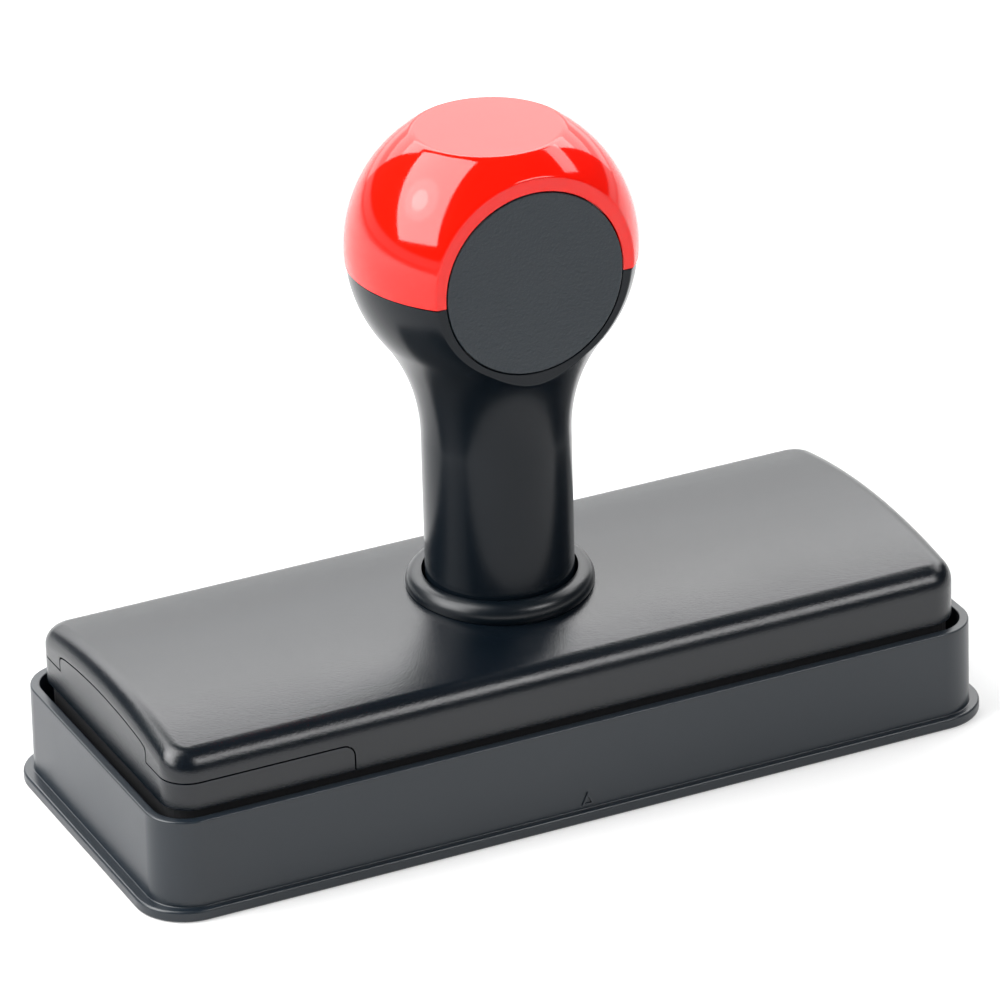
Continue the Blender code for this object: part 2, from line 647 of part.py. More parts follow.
def make_feed_felt(name, side, material):
    """Felt block in a window, which carries ink from the pad to the plate's back."""
    return prism(name, window_outline(side, GAP), PLATE_BOTTOM, PAD_BOTTOM - GAP, material)


def make_die(material):
    outline = rounded_outline(DIE_HALF_X, DIE_HALF_Y, MM)
    return prism("stamp_die", outline, DIE_BOTTOM, DIE_TOP, material)


def spring_places():
    return [(x, y) for x in (-SPRING_X, SPRING_X) for y in (-SPRING_Y, SPRING_Y)]


def make_spring(name, place, material):
    """Coil spring between the lower housing's ledge and an ear of the carriage."""
    bottom = LEDGE_TOP + GAP + SPRING_WIRE
    top = EAR_BOTTOM - GAP - SPRING_WIRE
    mean = SPRING_RADIUS - SPRING_WIRE
    per_turn, sides = 12, 5
    steps = int(SPRING_TURNS * per_turn)
    rings = []
    for i in range(steps + 1):
        turn = 2 * pi * i / per_turn
        share = i / steps
        ease = share - sin(2 * pi * share) / (2 * pi) * 0.6
        outward = Vector((cos(turn), sin(turn), 0.0))
        centre = Vector((place[0], place[1], bottom + (top - bottom) * ease)) + outward * mean
        ring = []
        for k in range(sides):
            angle = 2 * pi * k / sides
            ring.append(centre + outward * (SPRING_WIRE * cos(angle))
                        + Vector((0, 0, SPRING_WIRE * sin(angle))))
        rings.append(ring)
    builder = bmesh.new()
    loops = stack_rings(builder, rings)
    builder.faces.new(loops[0])
    builder.faces.new(loops[-1])
    return add_object(name, builder, material)


def pad_outline(margin):
    """Two arms joined at the left, leaving the handle's post a way out to the right."""
    left = -COVER_HALF_X + COVER_WALL + PAD_FRAME_WALL + margin
    right = CARTRIDGE_TAIL - PAD_FRAME_WALL - margin
    outer = PAD_FRAME_HALF - PAD_FRAME_WALL - margin
    inner = SLOT_RADIUS + PAD_FRAME_WALL + margin
    end = -SLOT_ROOM - inner
    return [(left, -outer), (right, -outer), (right, -inner), (end, -inner),
            (end, inner), (right, inner), (right, outer), (left, outer)]


def make_cartridge(material):
    """End panel and pinch wings cut from the cover's own wall, and the pad's frame."""
    frame = domed_block("cartridge_frame", 0.0, PAD_BOTTOM, material)
    cut(frame, domed_block("panel_room", COVER_WALL, PAD_BOTTOM - MM))
    wings, tongue = cartridge_seam(-GAP / 2)
    fuse(wings, tongue)
    add_boolean(frame, wings, "INTERSECT")
    half = PAD_FRAME_HALF
    left = -COVER_HALF_X + 0.5 * COVER_WALL
    outline = [(-half, PAD_BOTTOM), (half, PAD_BOTTOM), (half, RUNNER_BOTTOM),
               (half + RUNNER_WIDTH, RUNNER_BOTTOM), (half + RUNNER_WIDTH, PAD_FRAME_TOP),
               (-half - RUNNER_WIDTH, PAD_FRAME_TOP), (-half - RUNNER_WIDTH, RUNNER_BOTTOM),
               (-half, RUNNER_BOTTOM)]
    fuse(frame, extrude_along("pad_frame_form", outline, "X", left, CARTRIDGE_TAIL))
    slot = [(CARTRIDGE_TAIL + MM, -SLOT_RADIUS), (CARTRIDGE_TAIL + MM, SLOT_RADIUS)]
    slot += arc(-SLOT_ROOM, 0.0, SLOT_RADIUS, 90, 270, 2 * ARC_STEPS)
    cut(frame, prism("post_slot", slot, PAD_BOTTOM - MM, PAD_FRAME_TOP + MM))
    cut(frame, prism("pad_pocket", pad_outline(0.0), PAD_BOTTOM - MM, RUNNER_BOTTOM))
    return frame


def make_ink_pad(material):
    return prism("ink_pad", pad_outline(GAP), PAD_BOTTOM, RUNNER_BOTTOM - GAP, material)


def make_cover_screw(name, place, material):
    seat = CHASSIS_BOTTOM + SCREW_SEAT_DEPTH - GAP
    profile = [(0.0, COVER_BOTTOM + SCREW_GRIP), (SCREW_SHANK, COVER_BOTTOM + SCREW_GRIP),
               (SCREW_SHANK, seat), (SCREW_HEAD, seat), (SCREW_HEAD, seat - SCREW_HEAD_HEIGHT),
               (0.0, seat - SCREW_HEAD_HEIGHT)]
    return turned(name, profile, PIN_STEPS, material, place)


def carry(name, location, pieces, parent=None):
    """Hang pieces on an empty that lies on the line they slide along."""
    empty = bpy.data.objects.new(name, None)
    bpy.context.scene.collection.objects.link(empty)
    empty.location = location
    home = Matrix.Translation(location)
    if parent:
        empty.parent = parent
        empty.matrix_parent_inverse = Matrix.Translation(parent.location).inverted()
    for piece in pieces:
        piece.parent = empty
        piece.matrix_parent_inverse = home.inverted()
    return empty


def build():
    remove_everything()
    satin = make_material("satin_black", (0.022, 0.024, 0.027), 0.42)
    grained = make_material("grained_black", (0.030, 0.031, 0.034), 0.50)
    gloss = make_material("gloss_black", (0.006, 0.006, 0.008), 0.12)
    red = make_material("gloss_red", (0.62, 0.006, 0.008), 0.10)
    disc_grey = make_material("disc_grey", (0.045, 0.045, 0.048), 0.60)
    inner_black = make_material("inner_black", (0.020, 0.020, 0.022), 0.55)
    steel = make_material("steel", (0.62, 0.62, 0.64), 0.30, 1.0)
    spring_steel = make_material("spring_steel", (0.48, 0.48, 0.50), 0.28, 1.0)
    felt = make_material("ink_felt", (0.012, 0.012, 0.020), 0.95)
    rubber = make_material("die_rubber", (0.10, 0.018, 0.020), 0.80)

    make_tray(satin)
    body = [make_chassis(inner_black), make_cover(grained), make_collar(grained)]
    for number, place in enumerate(cover_screw_places(), 1):
        body.append(make_cover_screw("cover_screw_%d" % number, place, steel))
    for number, place in enumerate(spring_places(), 1):
        body.append(make_spring("return_spring_%d" % number, place, spring_steel))
    lift = carry("stamp_lift", Vector((0, 0, 0)), body)

    plunger = [make_handle(gloss), make_press_post(gloss), make_cap(red),
               make_front_disc(disc_grey),
               make_tie_screw(steel), make_tie_washer(steel), make_carriage(inner_black),
               make_feed_felt("feed_felt_left", -1, felt),
               make_feed_felt("feed_felt_right", 1, felt), make_die(rubber)]
    carry("plunger_slide", Vector((0, 0, BALL_HEIGHT)), plunger, lift)

    cartridge = [make_cartridge(grained), make_ink_pad(felt)]
    carry("cartridge_slide", Vector((0, 0, PAD_BOTTOM)), cartridge, lift)


build()
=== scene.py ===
import bpy
import bmesh
from math import acos, atan2, cos, degrees, hypot, pi, radians, sin, sqrt
from mathutils import Matrix, Vector


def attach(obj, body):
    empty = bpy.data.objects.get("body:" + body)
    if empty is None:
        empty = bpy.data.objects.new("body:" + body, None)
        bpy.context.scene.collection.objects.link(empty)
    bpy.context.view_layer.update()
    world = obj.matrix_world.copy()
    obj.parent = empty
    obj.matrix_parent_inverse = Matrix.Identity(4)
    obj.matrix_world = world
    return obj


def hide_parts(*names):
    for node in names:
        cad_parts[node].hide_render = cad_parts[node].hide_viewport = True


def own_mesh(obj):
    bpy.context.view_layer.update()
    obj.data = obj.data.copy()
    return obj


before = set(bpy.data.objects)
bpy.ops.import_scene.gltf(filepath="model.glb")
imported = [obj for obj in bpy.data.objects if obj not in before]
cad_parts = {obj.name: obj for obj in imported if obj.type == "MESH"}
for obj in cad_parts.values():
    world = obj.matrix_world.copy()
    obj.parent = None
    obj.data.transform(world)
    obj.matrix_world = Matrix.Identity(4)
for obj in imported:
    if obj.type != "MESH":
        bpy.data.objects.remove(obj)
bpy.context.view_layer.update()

# ---------------------------------------------------------------------------------------
# Table, lamps and camera
# The stamp stands on a matt white table that runs out to a white horizon.  A wide lamp
# stands low behind it, a window on the left and small lamps in front and on the right.
MM = 0.001
TABLE_RADIUS = 30.0
LAMP_TARGET = Vector((0.0, 0.0, 0.04))
BACK_LAMP_WIDTH = 2.7
BACK_LAMP_HEIGHT = 1.66
BACK_LAMP_DISTANCE = 1.70
BALL_CENTRE = 64.7
scene = bpy.context.scene
scene.view_settings.view_transform = "Standard"

table_mesh = bmesh.new()
bmesh.ops.create_circle(table_mesh, cap_ends=True, segments=96, radius=TABLE_RADIUS,
                        matrix=Matrix.Translation((0.0, 0.0, -0.05 * MM)))
table_data = bpy.data.meshes.new("table_top")
table_mesh.to_mesh(table_data)
table_mesh.free()
table = bpy.data.objects.new("table_top", table_data)
scene.collection.objects.link(table)

white_board = bpy.data.materials.new("white_board")
white_board.use_nodes = True
table_data.materials.append(white_board)
board_nodes, board_links = white_board.node_tree.nodes, white_board.node_tree.links
board_nodes.clear()
board_paint = board_nodes.new("ShaderNodeBsdfDiffuse")
board_paint.inputs["Color"].default_value = (0.52, 0.52, 0.52, 1.0)
board_lift = board_nodes.new("ShaderNodeEmission")
board_lift.inputs["Color"].default_value = (1.0, 1.0, 1.0, 1.0)
board_ray = board_nodes.new("ShaderNodeLightPath")
seen_direct = board_nodes.new("ShaderNodeMath")
seen_direct.operation = "MAXIMUM"
seen_any = board_nodes.new("ShaderNodeMath")
seen_any.operation = "MAXIMUM"
lift_amount = board_nodes.new("ShaderNodeMath")
lift_amount.operation = "MULTIPLY"
lift_amount.inputs[1].default_value = 0.42
board_sum = board_nodes.new("ShaderNodeAddShader")
board_out = board_nodes.new("ShaderNodeOutputMaterial")
board_links.new(board_ray.outputs["Is Camera Ray"], seen_direct.inputs[0])
board_links.new(board_ray.outputs["Is Glossy Ray"], seen_direct.inputs[1])
board_links.new(seen_direct.outputs[0], seen_any.inputs[0])
board_links.new(board_ray.outputs["Is Transmission Ray"], seen_any.inputs[1])
board_links.new(seen_any.outputs[0], lift_amount.inputs[0])
board_links.new(lift_amount.outputs[0], board_lift.inputs["Strength"])
board_links.new(board_paint.outputs[0], board_sum.inputs[0])
board_links.new(board_lift.outputs[0], board_sum.inputs[1])
board_links.new(board_sum.outputs[0], board_out.inputs["Surface"])

# The room: white up to just over the horizon, dim above it.
room = bpy.data.worlds.new("room")
scene.world = room
room.use_nodes = True
room_nodes, room_links = room.node_tree.nodes, room.node_tree.links
room_nodes.clear()
room_way = room_nodes.new("ShaderNodeTexCoord")
room_axes = room_nodes.new("ShaderNodeSeparateXYZ")
room_fade = room_nodes.new("ShaderNodeMapRange")
room_fade.interpolation_type = "SMOOTHSTEP"
room_fade.inputs["From Min"].default_value = 0.078
room_fade.inputs["From Max"].default_value = 0.13
room_fade.inputs["To Min"].default_value = 1.0
room_fade.inputs["To Max"].default_value = 0.08
room_light = room_nodes.new("ShaderNodeBackground")
room_out = room_nodes.new("ShaderNodeOutputWorld")
room_links.new(room_way.outputs["Generated"], room_axes.inputs[0])
room_links.new(room_axes.outputs["Z"], room_fade.inputs["Value"])
room_links.new(room_fade.outputs[0], room_light.inputs["Strength"])
room_links.new(room_light.outputs[0], room_out.inputs["Surface"])


def place_lamp(name, where, size, brightness, shape="RECTANGLE"):
    """Soft lamp of that size in metres and that brightness, hidden from the camera."""
    light = bpy.data.lights.new(name, "AREA")
    light.shape = shape
    light.size, light.size_y = size
    light.energy = brightness * pi * size[0] * size[1]
    lamp = bpy.data.objects.new(name, light)
    lamp.matrix_world = where
    lamp.visible_camera = False
    scene.collection.objects.link(lamp)
    return lamp


def hang_lamp(name, azimuth, elevation, distance, size, brightness, roll=0.0, lift=0.0):
    """Lamp that faces the stamp; azimuth 0 is straight in front and 90 to the right."""
    a, e = radians(azimuth), radians(elevation)
    away = Vector((sin(a) * cos(e), -cos(a) * cos(e), sin(e)))
    where = (Matrix.Translation(LAMP_TARGET + away * distance)
             @ away.to_track_quat("Z", "Y").to_matrix().to_4x4()
             @ Matrix.Rotation(radians(roll), 4, "Z") @ Matrix.Translation((0.0, lift, 0.0)))
    return place_lamp(name, where, size, brightness)


# The back lamp grows brighter upwards: three panes, each a little in front of the last.
for name, height, brightness, distance in (("back_lamp", BACK_LAMP_HEIGHT, 1.15, 1.70),
                                           ("back_lamp_upper", 1.08, 1.65, 1.67),
                                           ("back_lamp_top", 0.58, 2.8, 1.64)):
    hang_lamp(name, 155.5, 25.5, distance,
              (BACK_LAMP_WIDTH * distance / BACK_LAMP_DISTANCE, height), brightness,
              lift=(BACK_LAMP_HEIGHT - height) / 2)
hang_lamp("front_lamp", 31, 40, 1.1, (0.42, 0.32), 9.0, roll=-14.0)
front_fill = hang_lamp("front_fill", -6, 20, 1.5, (1.6, 0.9), 1.0)
front_fill.visible_glossy = False
hang_lamp("right_lamp", 98, 43, 1.2, (0.50, 0.26), 4.5, roll=30.0)

# The tall window on the left, and the round glow in its middle.
across = Vector((0.230, -0.608, 0.094))
along_up = Vector((0.806, 0.436, 0.474))
facing = across.cross(along_up).normalized()
window_turn = Matrix((across.normalized(), facing.cross(across).normalized(),
                      facing)).transposed().to_4x4()
for name, from_ball, size, brightness, shape in (
        ("left_window", (-0.618, 0.156, 0.489), (0.657, 1.032), 7.5, "RECTANGLE"),
        ("left_window_glow", (-0.602, 0.152, 0.478), (0.42, 0.42), 1.2, "ELLIPSE"),
        ("left_window_bulb", (-0.600, 0.150, 0.478), (0.20, 0.20), 3.0, "ELLIPSE")):
    place = Vector(from_ball) + Vector((0.0, 0.0, BALL_CENTRE * MM))
    place_lamp(name, Matrix.Translation(place) @ window_turn, size, brightness, shape)

# Camera: a long lens that looks down on the front left corner.
VIEW_AZIMUTH = 0.438221723
VIEW_ELEVATION = 0.457934024
VIEW_ROLL = -0.0270856137
camera_data = bpy.data.cameras.new("camera")
camera_data.lens = 241.247
camera_data.sensor_width = 36.0
camera_data.clip_start = 0.05
camera_data.clip_end = 60.0
camera = bpy.data.objects.new("camera", camera_data)
scene.collection.objects.link(camera)
view_back = Vector((-sin(VIEW_AZIMUTH) * cos(VIEW_ELEVATION),
                    -cos(VIEW_AZIMUTH) * cos(VIEW_ELEVATION), sin(VIEW_ELEVATION)))
view_right = Vector((0.0, 0.0, 1.0)).cross(view_back).normalized()
view_up = view_back.cross(view_right)
rolled_right = cos(VIEW_ROLL) * view_right + sin(VIEW_ROLL) * view_up
rolled_up = cos(VIEW_ROLL) * view_up - sin(VIEW_ROLL) * view_right
camera.matrix_world = (Matrix.Translation((-0.29759109, -0.63559249, 0.37785536))
                       @ Matrix((rolled_right, rolled_up, view_back)).transposed().to_4x4())
scene.camera = camera

# ---------------------------------------------------------------------------------------
# Base tray
# One black ABS moulding with a tapered wall, a thin lip and a foot flange that follows
# the outline.  Its outside is evenly matt; a small raised triangle marks the front centre.
TRAY_HALF = (54.5, 22.65)
TRAY_CORNER = 6.4
FLANGE_OVERHANG = (1.4, 0.8)
FLANGE_HEIGHT = 1.45
FLANGE_EDGE = 0.35
TRAY_HEIGHT = 12.4
TRAY_WALL = 1.15
TRAY_DRAFT = 0.13
TRAY_FLOOR = 1.8
RIM_EDGE = 0.22
FOOT_FILLET = 0.12
FLOOR_FILLET = 0.5
RIB_PLACE = 47.84
RIB_TOP = 3.7
SATIN_BLACK = (0.009, 0.014, 0.020)


def arc(centre, radius, start, end, steps):
    """Points of an arc, with its angles in degrees anticlockwise from the first axis."""
    points = []
    for i in range(steps + 1):
        angle = radians(start + (end - start) * i / steps)
        points.append((centre[0] + radius * cos(angle), centre[1] + radius * sin(angle)))
    return points


def rounded_outline(half_x, half_y, corner, steps=14, end_steps=1):
    """Rounded rectangle; point i and point -1 - i mirror each other across X = 0."""
    right = arc((half_x - corner, -half_y + corner), corner, -90, 0, steps)
    for i in range(1, end_steps):
        right.append((half_x, (half_y - corner) * (2 * i / end_steps - 1)))
    right += arc((half_x - corner, half_y - corner), corner, 0, 90, steps)
    return right + [(-x, y) for x, y in reversed(right)]


def stack_rings(form, rings):
    """Join rings of equally many points, in millimetres, with quads."""
    loops = [[form.verts.new(Vector(p) * MM) for p in ring] for ring in rings]
    for lower, upper in zip(loops, loops[1:]):
        for i in range(len(lower)):
            j = (i + 1) % len(lower)
            form.faces.new((lower[i], lower[j], upper[j], upper[i]))
    return loops


def make_piece(name, form):
    """Object of a closed form, with its faces turned outwards."""
    bmesh.ops.recalc_face_normals(form, faces=form.faces)
    mesh = bpy.data.meshes.new(name)
    form.to_mesh(mesh)
    form.free()
    piece = bpy.data.objects.new(name, mesh)
    scene.collection.objects.link(piece)
    return piece


def closed_stack(name, rings):
    form = bmesh.new()
    loops = stack_rings(form, rings)
    form.faces.new(loops[0])
    form.faces.new(loops[-1])
    return make_piece(name, form)


def upright(name, outline, bottom, top):
    return closed_stack(name, [[(x, y, z) for x, y in outline] for z in (bottom, top)])


def along(name, outline, axis, start, end):
    """Outline carried along X (its points are y, z) or along Y (its points are x, z)."""
    if axis == "X":
        rings = [[(place, a, b) for a, b in outline] for place in (start, end)]
    else:
        rings = [[(a, place, b) for a, b in outline] for place in (start, end)]
    return closed_stack(name, rings)


def settle(piece):
    """Turn a piece and its modifiers into one plain mesh."""
    depsgraph = bpy.context.evaluated_depsgraph_get()
    mesh = bpy.data.meshes.new_from_object(piece.evaluated_get(depsgraph))
    mesh.name = piece.name
    piece.modifiers.clear()
    raw, piece.data = piece.data, mesh
    bpy.data.meshes.remove(raw)


def carve(piece, tool, operation="DIFFERENCE"):
    """Cut a form out of a piece, or mould it on."""
    modifier = piece.modifiers.new("carve", "BOOLEAN")
    modifier.operation = operation
    modifier.solver = "EXACT"
    modifier.object = tool
    settle(piece)
    bpy.data.objects.remove(tool, do_unlink=True)


def finish_piece(piece, material, body, nodes, crease=32.0):
    """Smooth shading with flat faces kept flat, the finish, and the body it rides on."""
    piece.data.materials.clear()
    piece.data.shade_smooth()
    piece.data.set_sharp_from_angle(angle=radians(crease))
    flatten = piece.modifiers.new("flat_faces", "WEIGHTED_NORMAL")
    flatten.keep_sharp = True
    flatten.weight = 50
    settle(piece)
    piece.data.materials.append(material)
    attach(piece, body)
    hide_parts(*nodes)


def tray_ring(inset, height, corner_inset=None):
    """Ring of the tray's outline; inset is (along X, along Y) from the flange's edge."""
    corner = TRAY_CORNER - (0.5 * (inset[0] + inset[1]) if corner_inset is None
                            else corner_inset)
    outline = rounded_outline(TRAY_HALF[0] - inset[0], TRAY_HALF[1] - inset[1], corner)
    return [(x, y, height) for x, y in outline]


tray_rings = []
for r, z in arc((FLANGE_EDGE, FLANGE_EDGE), FLANGE_EDGE, 270, 180, 5):
    tray_rings.append(tray_ring((r, r), z))
for r, z in arc((FLANGE_EDGE, FLANGE_HEIGHT - FLANGE_EDGE), FLANGE_EDGE, 180, 90, 6):
    tray_rings.append(tray_ring((r, r), z))
for r, z in arc((-FOOT_FILLET, FOOT_FILLET), FOOT_FILLET, 270, 360, 4):
    tray_rings.append(tray_ring((FLANGE_OVERHANG[0] + r, FLANGE_OVERHANG[1] + r),
                                FLANGE_HEIGHT + z))
for r, z in arc((RIM_EDGE, TRAY_HEIGHT - RIM_EDGE), RIM_EDGE, 180, 90, 6):
    tray_rings.append(tray_ring((FLANGE_OVERHANG[0] + TRAY_DRAFT + r,
                                 FLANGE_OVERHANG[1] + TRAY_DRAFT + r), z))
lip = TRAY_DRAFT + TRAY_WALL
for r, z in arc((-RIM_EDGE, TRAY_HEIGHT - RIM_EDGE), RIM_EDGE, 90, 0, 5):
    tray_rings.append(tray_ring((FLANGE_OVERHANG[0] + lip + r,
                                 FLANGE_OVERHANG[1] + lip + r), z))
for r, z in arc((FLOOR_FILLET, TRAY_FLOOR + FLOOR_FILLET), FLOOR_FILLET, 180, 270, 5):
    tray_rings.append(tray_ring((FLANGE_OVERHANG[0] + TRAY_WALL + r,
                                 FLANGE_OVERHANG[1] + TRAY_WALL + r), z))
tray = closed_stack("tray_moulding", tray_rings)
for side in (-1, 1):
    rib = rounded_outline(1.0, 17.0, 0.4, 4)
    carve(tray, upright("rest_rib", [(x + side * RIB_PLACE, y) for x, y in rib], 1.0, RIB_TOP),
          "UNION")

# The centre mark: a thin raised triangle, moulded with the wall.
mark_place = (0.2, 2.0)
mark_outer = [(-0.78, 0.0), (0.78, 0.0), (0.0, 1.62)]
mark_inner = [(-0.46, 0.2), (0.46, 0.2), (0.0, 1.15)]
mark = bmesh.new()
mark_corners = []
for shape in (mark_outer, mark_inner):
    for depth in (-21.5, -22.02):
        mark_corners.append([mark.verts.new(Vector((x + mark_place[0], depth,
                                                    z + mark_place[1])) * MM)
                             for x, z in shape])
outer_back, outer_front, inner_back, inner_front = mark_corners
for near, far in ((outer_back, outer_front), (outer_front, inner_front),
                  (inner_front, inner_back), (inner_back, outer_back)):
    for i in range(3):
        j = (i + 1) % 3
        mark.faces.new((near[i], near[j], far[j], far[i]))
carve(tray, make_piece("centre_mark", mark), "UNION")


def start_material(name, colour, roughness, metallic=0.0):
    """Material with its shader and object coordinates; returns its node tree's parts."""
    material = bpy.data.materials.new(name)
    material.use_nodes = True
    material.diffuse_color = (*colour, 1.0)
    nodes, links = material.node_tree.nodes, material.node_tree.links
    shader = nodes["Principled BSDF"]
    shader.inputs["Metallic"].default_value = metallic
    shader.inputs["Base Color"].default_value = (*colour, 1.0)
    shader.inputs["Roughness"].default_value = roughness
    place = nodes.new("ShaderNodeTexCoord")
    return material, nodes, links, shader, place.outputs["Object"]


def add_noise(nodes, links, place, scale, detail=2.0, roughness=0.5, stretch=None):
    """Noise of so many features a metre, stretched along an axis where one is named."""
    noise = nodes.new("ShaderNodeTexNoise")
    noise.inputs["Scale"].default_value = scale
    noise.inputs["Detail"].default_value = detail
    noise.inputs["Roughness"].default_value = roughness
    if stretch:
        mapping = nodes.new("ShaderNodeMapping")
        mapping.inputs["Scale"].default_value = stretch
        links.new(place, mapping.inputs["Vector"])
        place = mapping.outputs[0]
    links.new(place, noise.inputs["Vector"])
    return noise.outputs["Fac"]


def map_value(nodes, links, value, low, high, from_low=0.3, from_high=0.7):
    scaled = nodes.new("ShaderNodeMapRange")
    scaled.inputs["From Min"].default_value = from_low
    scaled.inputs["From Max"].default_value = from_high
    scaled.inputs["To Min"].default_value = low
    scaled.inputs["To Max"].default_value = high
    links.new(value, scaled.inputs["Value"])
    return scaled.outputs[0]


def mix_colours(nodes, links, share, first, second):
    mix = nodes.new("ShaderNodeMix")
    mix.data_type = "RGBA"
    mix.inputs["A"].default_value = (*first, 1.0)
    mix.inputs["B"].default_value = (*second, 1.0)
    links.new(share, mix.inputs["Factor"])
    return mix.outputs["Result"]


def add_bump(nodes, links, shader, height, depth):
    """Relief of so many millimetres on the shader's surface."""
    bump = nodes.new("ShaderNodeBump")
    bump.inputs["Distance"].default_value = depth * MM
    links.new(height, bump.inputs["Height"])
    links.new(bump.outputs[0], shader.inputs["Normal"])


def edge_wear_and_painted_highlight(nodes, links, radius):
    """1 along sharp edges, 0 on open faces: where handling has polished the moulding, and where
    a lighter colour paints in the edges' highlight.
    """
    rounded = nodes.new("ShaderNodeBevel")
    rounded.samples = 4
    rounded.inputs["Radius"].default_value = radius * MM
    true_face = nodes.new("ShaderNodeNewGeometry")
    match = nodes.new("ShaderNodeVectorMath")
    match.operation = "DOT_PRODUCT"
    links.new(rounded.outputs[0], match.inputs[0])
    links.new(true_face.outputs["Normal"], match.inputs[1])
    return map_value(nodes, links, match.outputs["Value"], 1.0, 0.0, 0.80, 0.985)


def moulded_plastic(name, colour, roughness, grain, depth, worn_and_highlit_colour, worn_roughness):
    """Black moulding: fine cavity grain, soft cloudiness, and lighter edges, partly polished by
    use and partly a painted highlight.
    """
    material, nodes, links, shader, place = start_material(name, colour, roughness)
    fine = add_noise(nodes, links, place, 1.0 / (grain * MM), 2.0, 0.6)
    coarse = add_noise(nodes, links, place, 0.6 / (grain * MM), 1.0)
    cloud = add_noise(nodes, links, place, 55.0, 3.0)
    relief = nodes.new("ShaderNodeMath")
    relief.operation = "ADD"
    links.new(fine, relief.inputs[0])
    links.new(coarse, relief.inputs[1])
    add_bump(nodes, links, shader, relief.outputs[0], depth)
    worn_and_highlit_edges = edge_wear_and_painted_highlight(nodes, links, 0.35)
    # Lighter colour along the edges: part rubbed wear, part a painted highlight line.
    shade = mix_colours(nodes, links, worn_and_highlit_edges, colour, worn_and_highlit_colour)
    links.new(shade, shader.inputs["Base Color"])
    base_rough = map_value(nodes, links, cloud, roughness - 0.03, roughness + 0.03)
    rough = nodes.new("ShaderNodeMix")
    links.new(worn_and_highlit_edges, rough.inputs["Factor"])
    links.new(base_rough, rough.inputs["A"])
    rough.inputs["B"].default_value = worn_roughness
    links.new(rough.outputs["Result"], shader.inputs["Roughness"])
    return material


# Its lighter edge colour is part rubbed wear, part a painted highlight along the edges.
satin_black = moulded_plastic("satin_black_abs", SATIN_BLACK, 0.31, 0.16, 0.0030,
                              (0.016, 0.021, 0.027), 0.28)
finish_piece(tray, satin_black, "tray", ["base_tray"])

# ---------------------------------------------------------------------------------------
# Top cover
# Domed ABS shell with a soft fillet all round, spark-eroded to a fine even grain.  The
# ink cartridge's end panel and pinch wings are let into its left end with a hair seam.
COVER_HALF = (50.92, 20.02)
COVER_CORNER = 3.6
COVER_WALL = 1.3
COVER_BOTTOM = 12.9
COVER_CROWN = 21.6
DOME_RADIUS = 91.0
COVER_FILLET = 2.4
WING_END = -28.17
WING_TOP = 16.3
WING_CORNER = 1.5
TONGUE_HALF = 12.7
SEAM = 0.16
SEAM_EDGE = 0.05
RAIL_INNER = 13.57
RAIL_OUTER = 15.77
RAIL_BOTTOM = 13.3
RAIL_TOP = 19.48
BOSS_RADIUS = 1.9
BOSS_TOP = 19.2
PILOT_RADIUS = 1.3
PILOT_TOP = 18.2
COLLAR_HOLE = 10.15
GRAINED_BLACK = (0.002, 0.0042, 0.007)
SCREW_PLACES = [(x, y) for x in (-24.02, 44.02) for y in (-16.77, 16.77)]


def dome_height(y):
    return COVER_CROWN - DOME_RADIUS + sqrt(DOME_RADIUS ** 2 - y * y)


def domed_block(name, inset, bottom):
    """The cover's outer form, or the same form a wall's thickness inside it."""
    fillet = COVER_FILLET - inset

    def ring(shrink, drop):
        outline = rounded_outline(COVER_HALF[0] - shrink, COVER_HALF[1] - shrink,
                                  COVER_CORNER - shrink, 14, 28)
        return [(x, y, dome_height(y) - drop if drop is not None else bottom)
                for x, y in outline]

    rings = [ring(inset, None)]
    for step in range(13):
        angle = 0.5 * pi * step / 12
        rings.append(ring(inset + fillet * (1 - cos(angle)),
                          inset + fillet * (1 - sin(angle))))
    form = bmesh.new()
    loops = stack_rings(form, rings)
    form.faces.new(loops[0])
    crown = loops[-1]
    for i in range(len(crown) // 2 - 1):
        form.faces.new((crown[i], crown[i + 1], crown[-2 - i], crown[-1 - i]))
    return make_piece(name, form)


def pin(name, radius, bottom, top, place=(0.0, 0.0), steps=32):
    circle = arc(place, radius, 0, 360, steps)[:-1]
    return upright(name, circle, bottom, top)


def seam_form(slack):
    """The left end of the cover that belongs to the cartridge, grown by slack."""
    left = -COVER_HALF[0] - 1.3
    right, top, corner = WING_END + slack, WING_TOP + slack, WING_CORNER + slack
    outline = [(left, COVER_BOTTOM - 1), (right, COVER_BOTTOM - 1)]
    outline += arc((right - corner, top - corner), corner, 0, 90, 10) + [(left, top)]
    wings = along("wing_form", outline, "Y", -45.0, 45.0)
    half, corner, drop = TONGUE_HALF + slack, 0.8, COVER_FILLET + 0.05 - slack
    shoulder = dome_height(half) - drop - corner
    outline = [(-half, COVER_BOTTOM - 1), (half, COVER_BOTTOM - 1)]
    outline += arc((half - corner, shoulder), corner, 0, 82, 6)
    for i in range(1, 24):
        y = (half - corner) * (1 - 2 * i / 24)
        outline.append((y, dome_height(y) - drop))
    outline += arc((-half + corner, shoulder), corner, 98, 180, 6)
    return wings, along("tongue_form", outline, "X", left, -COVER_HALF[0] + COVER_WALL + 1)


def soften_skin(piece, width):
    """Round the sharp edges that lie on the cover's outer walls."""
    form = bmesh.new()
    form.from_mesh(piece.data)

    def on_skin(point):
        x, y = abs(point.x) / MM, abs(point.y) / MM
        over_x = x - COVER_HALF[0] + COVER_CORNER
        over_y = y - COVER_HALF[1] + COVER_CORNER
        reach = hypot(max(over_x, 0), max(over_y, 0)) + min(max(over_x, over_y), 0)
        return abs(reach - COVER_CORNER) < 0.012

    edges = [e for e in form.edges if len(e.link_faces) == 2
             and e.calc_face_angle(0.0) > radians(40)
             and all(on_skin(v.co) for v in e.verts)]
    bmesh.ops.bevel(form, geom=edges, offset=width * MM, segments=2, profile=0.5,
                    affect="EDGES", clamp_overlap=False)
    form.to_mesh(piece.data)
    form.free()


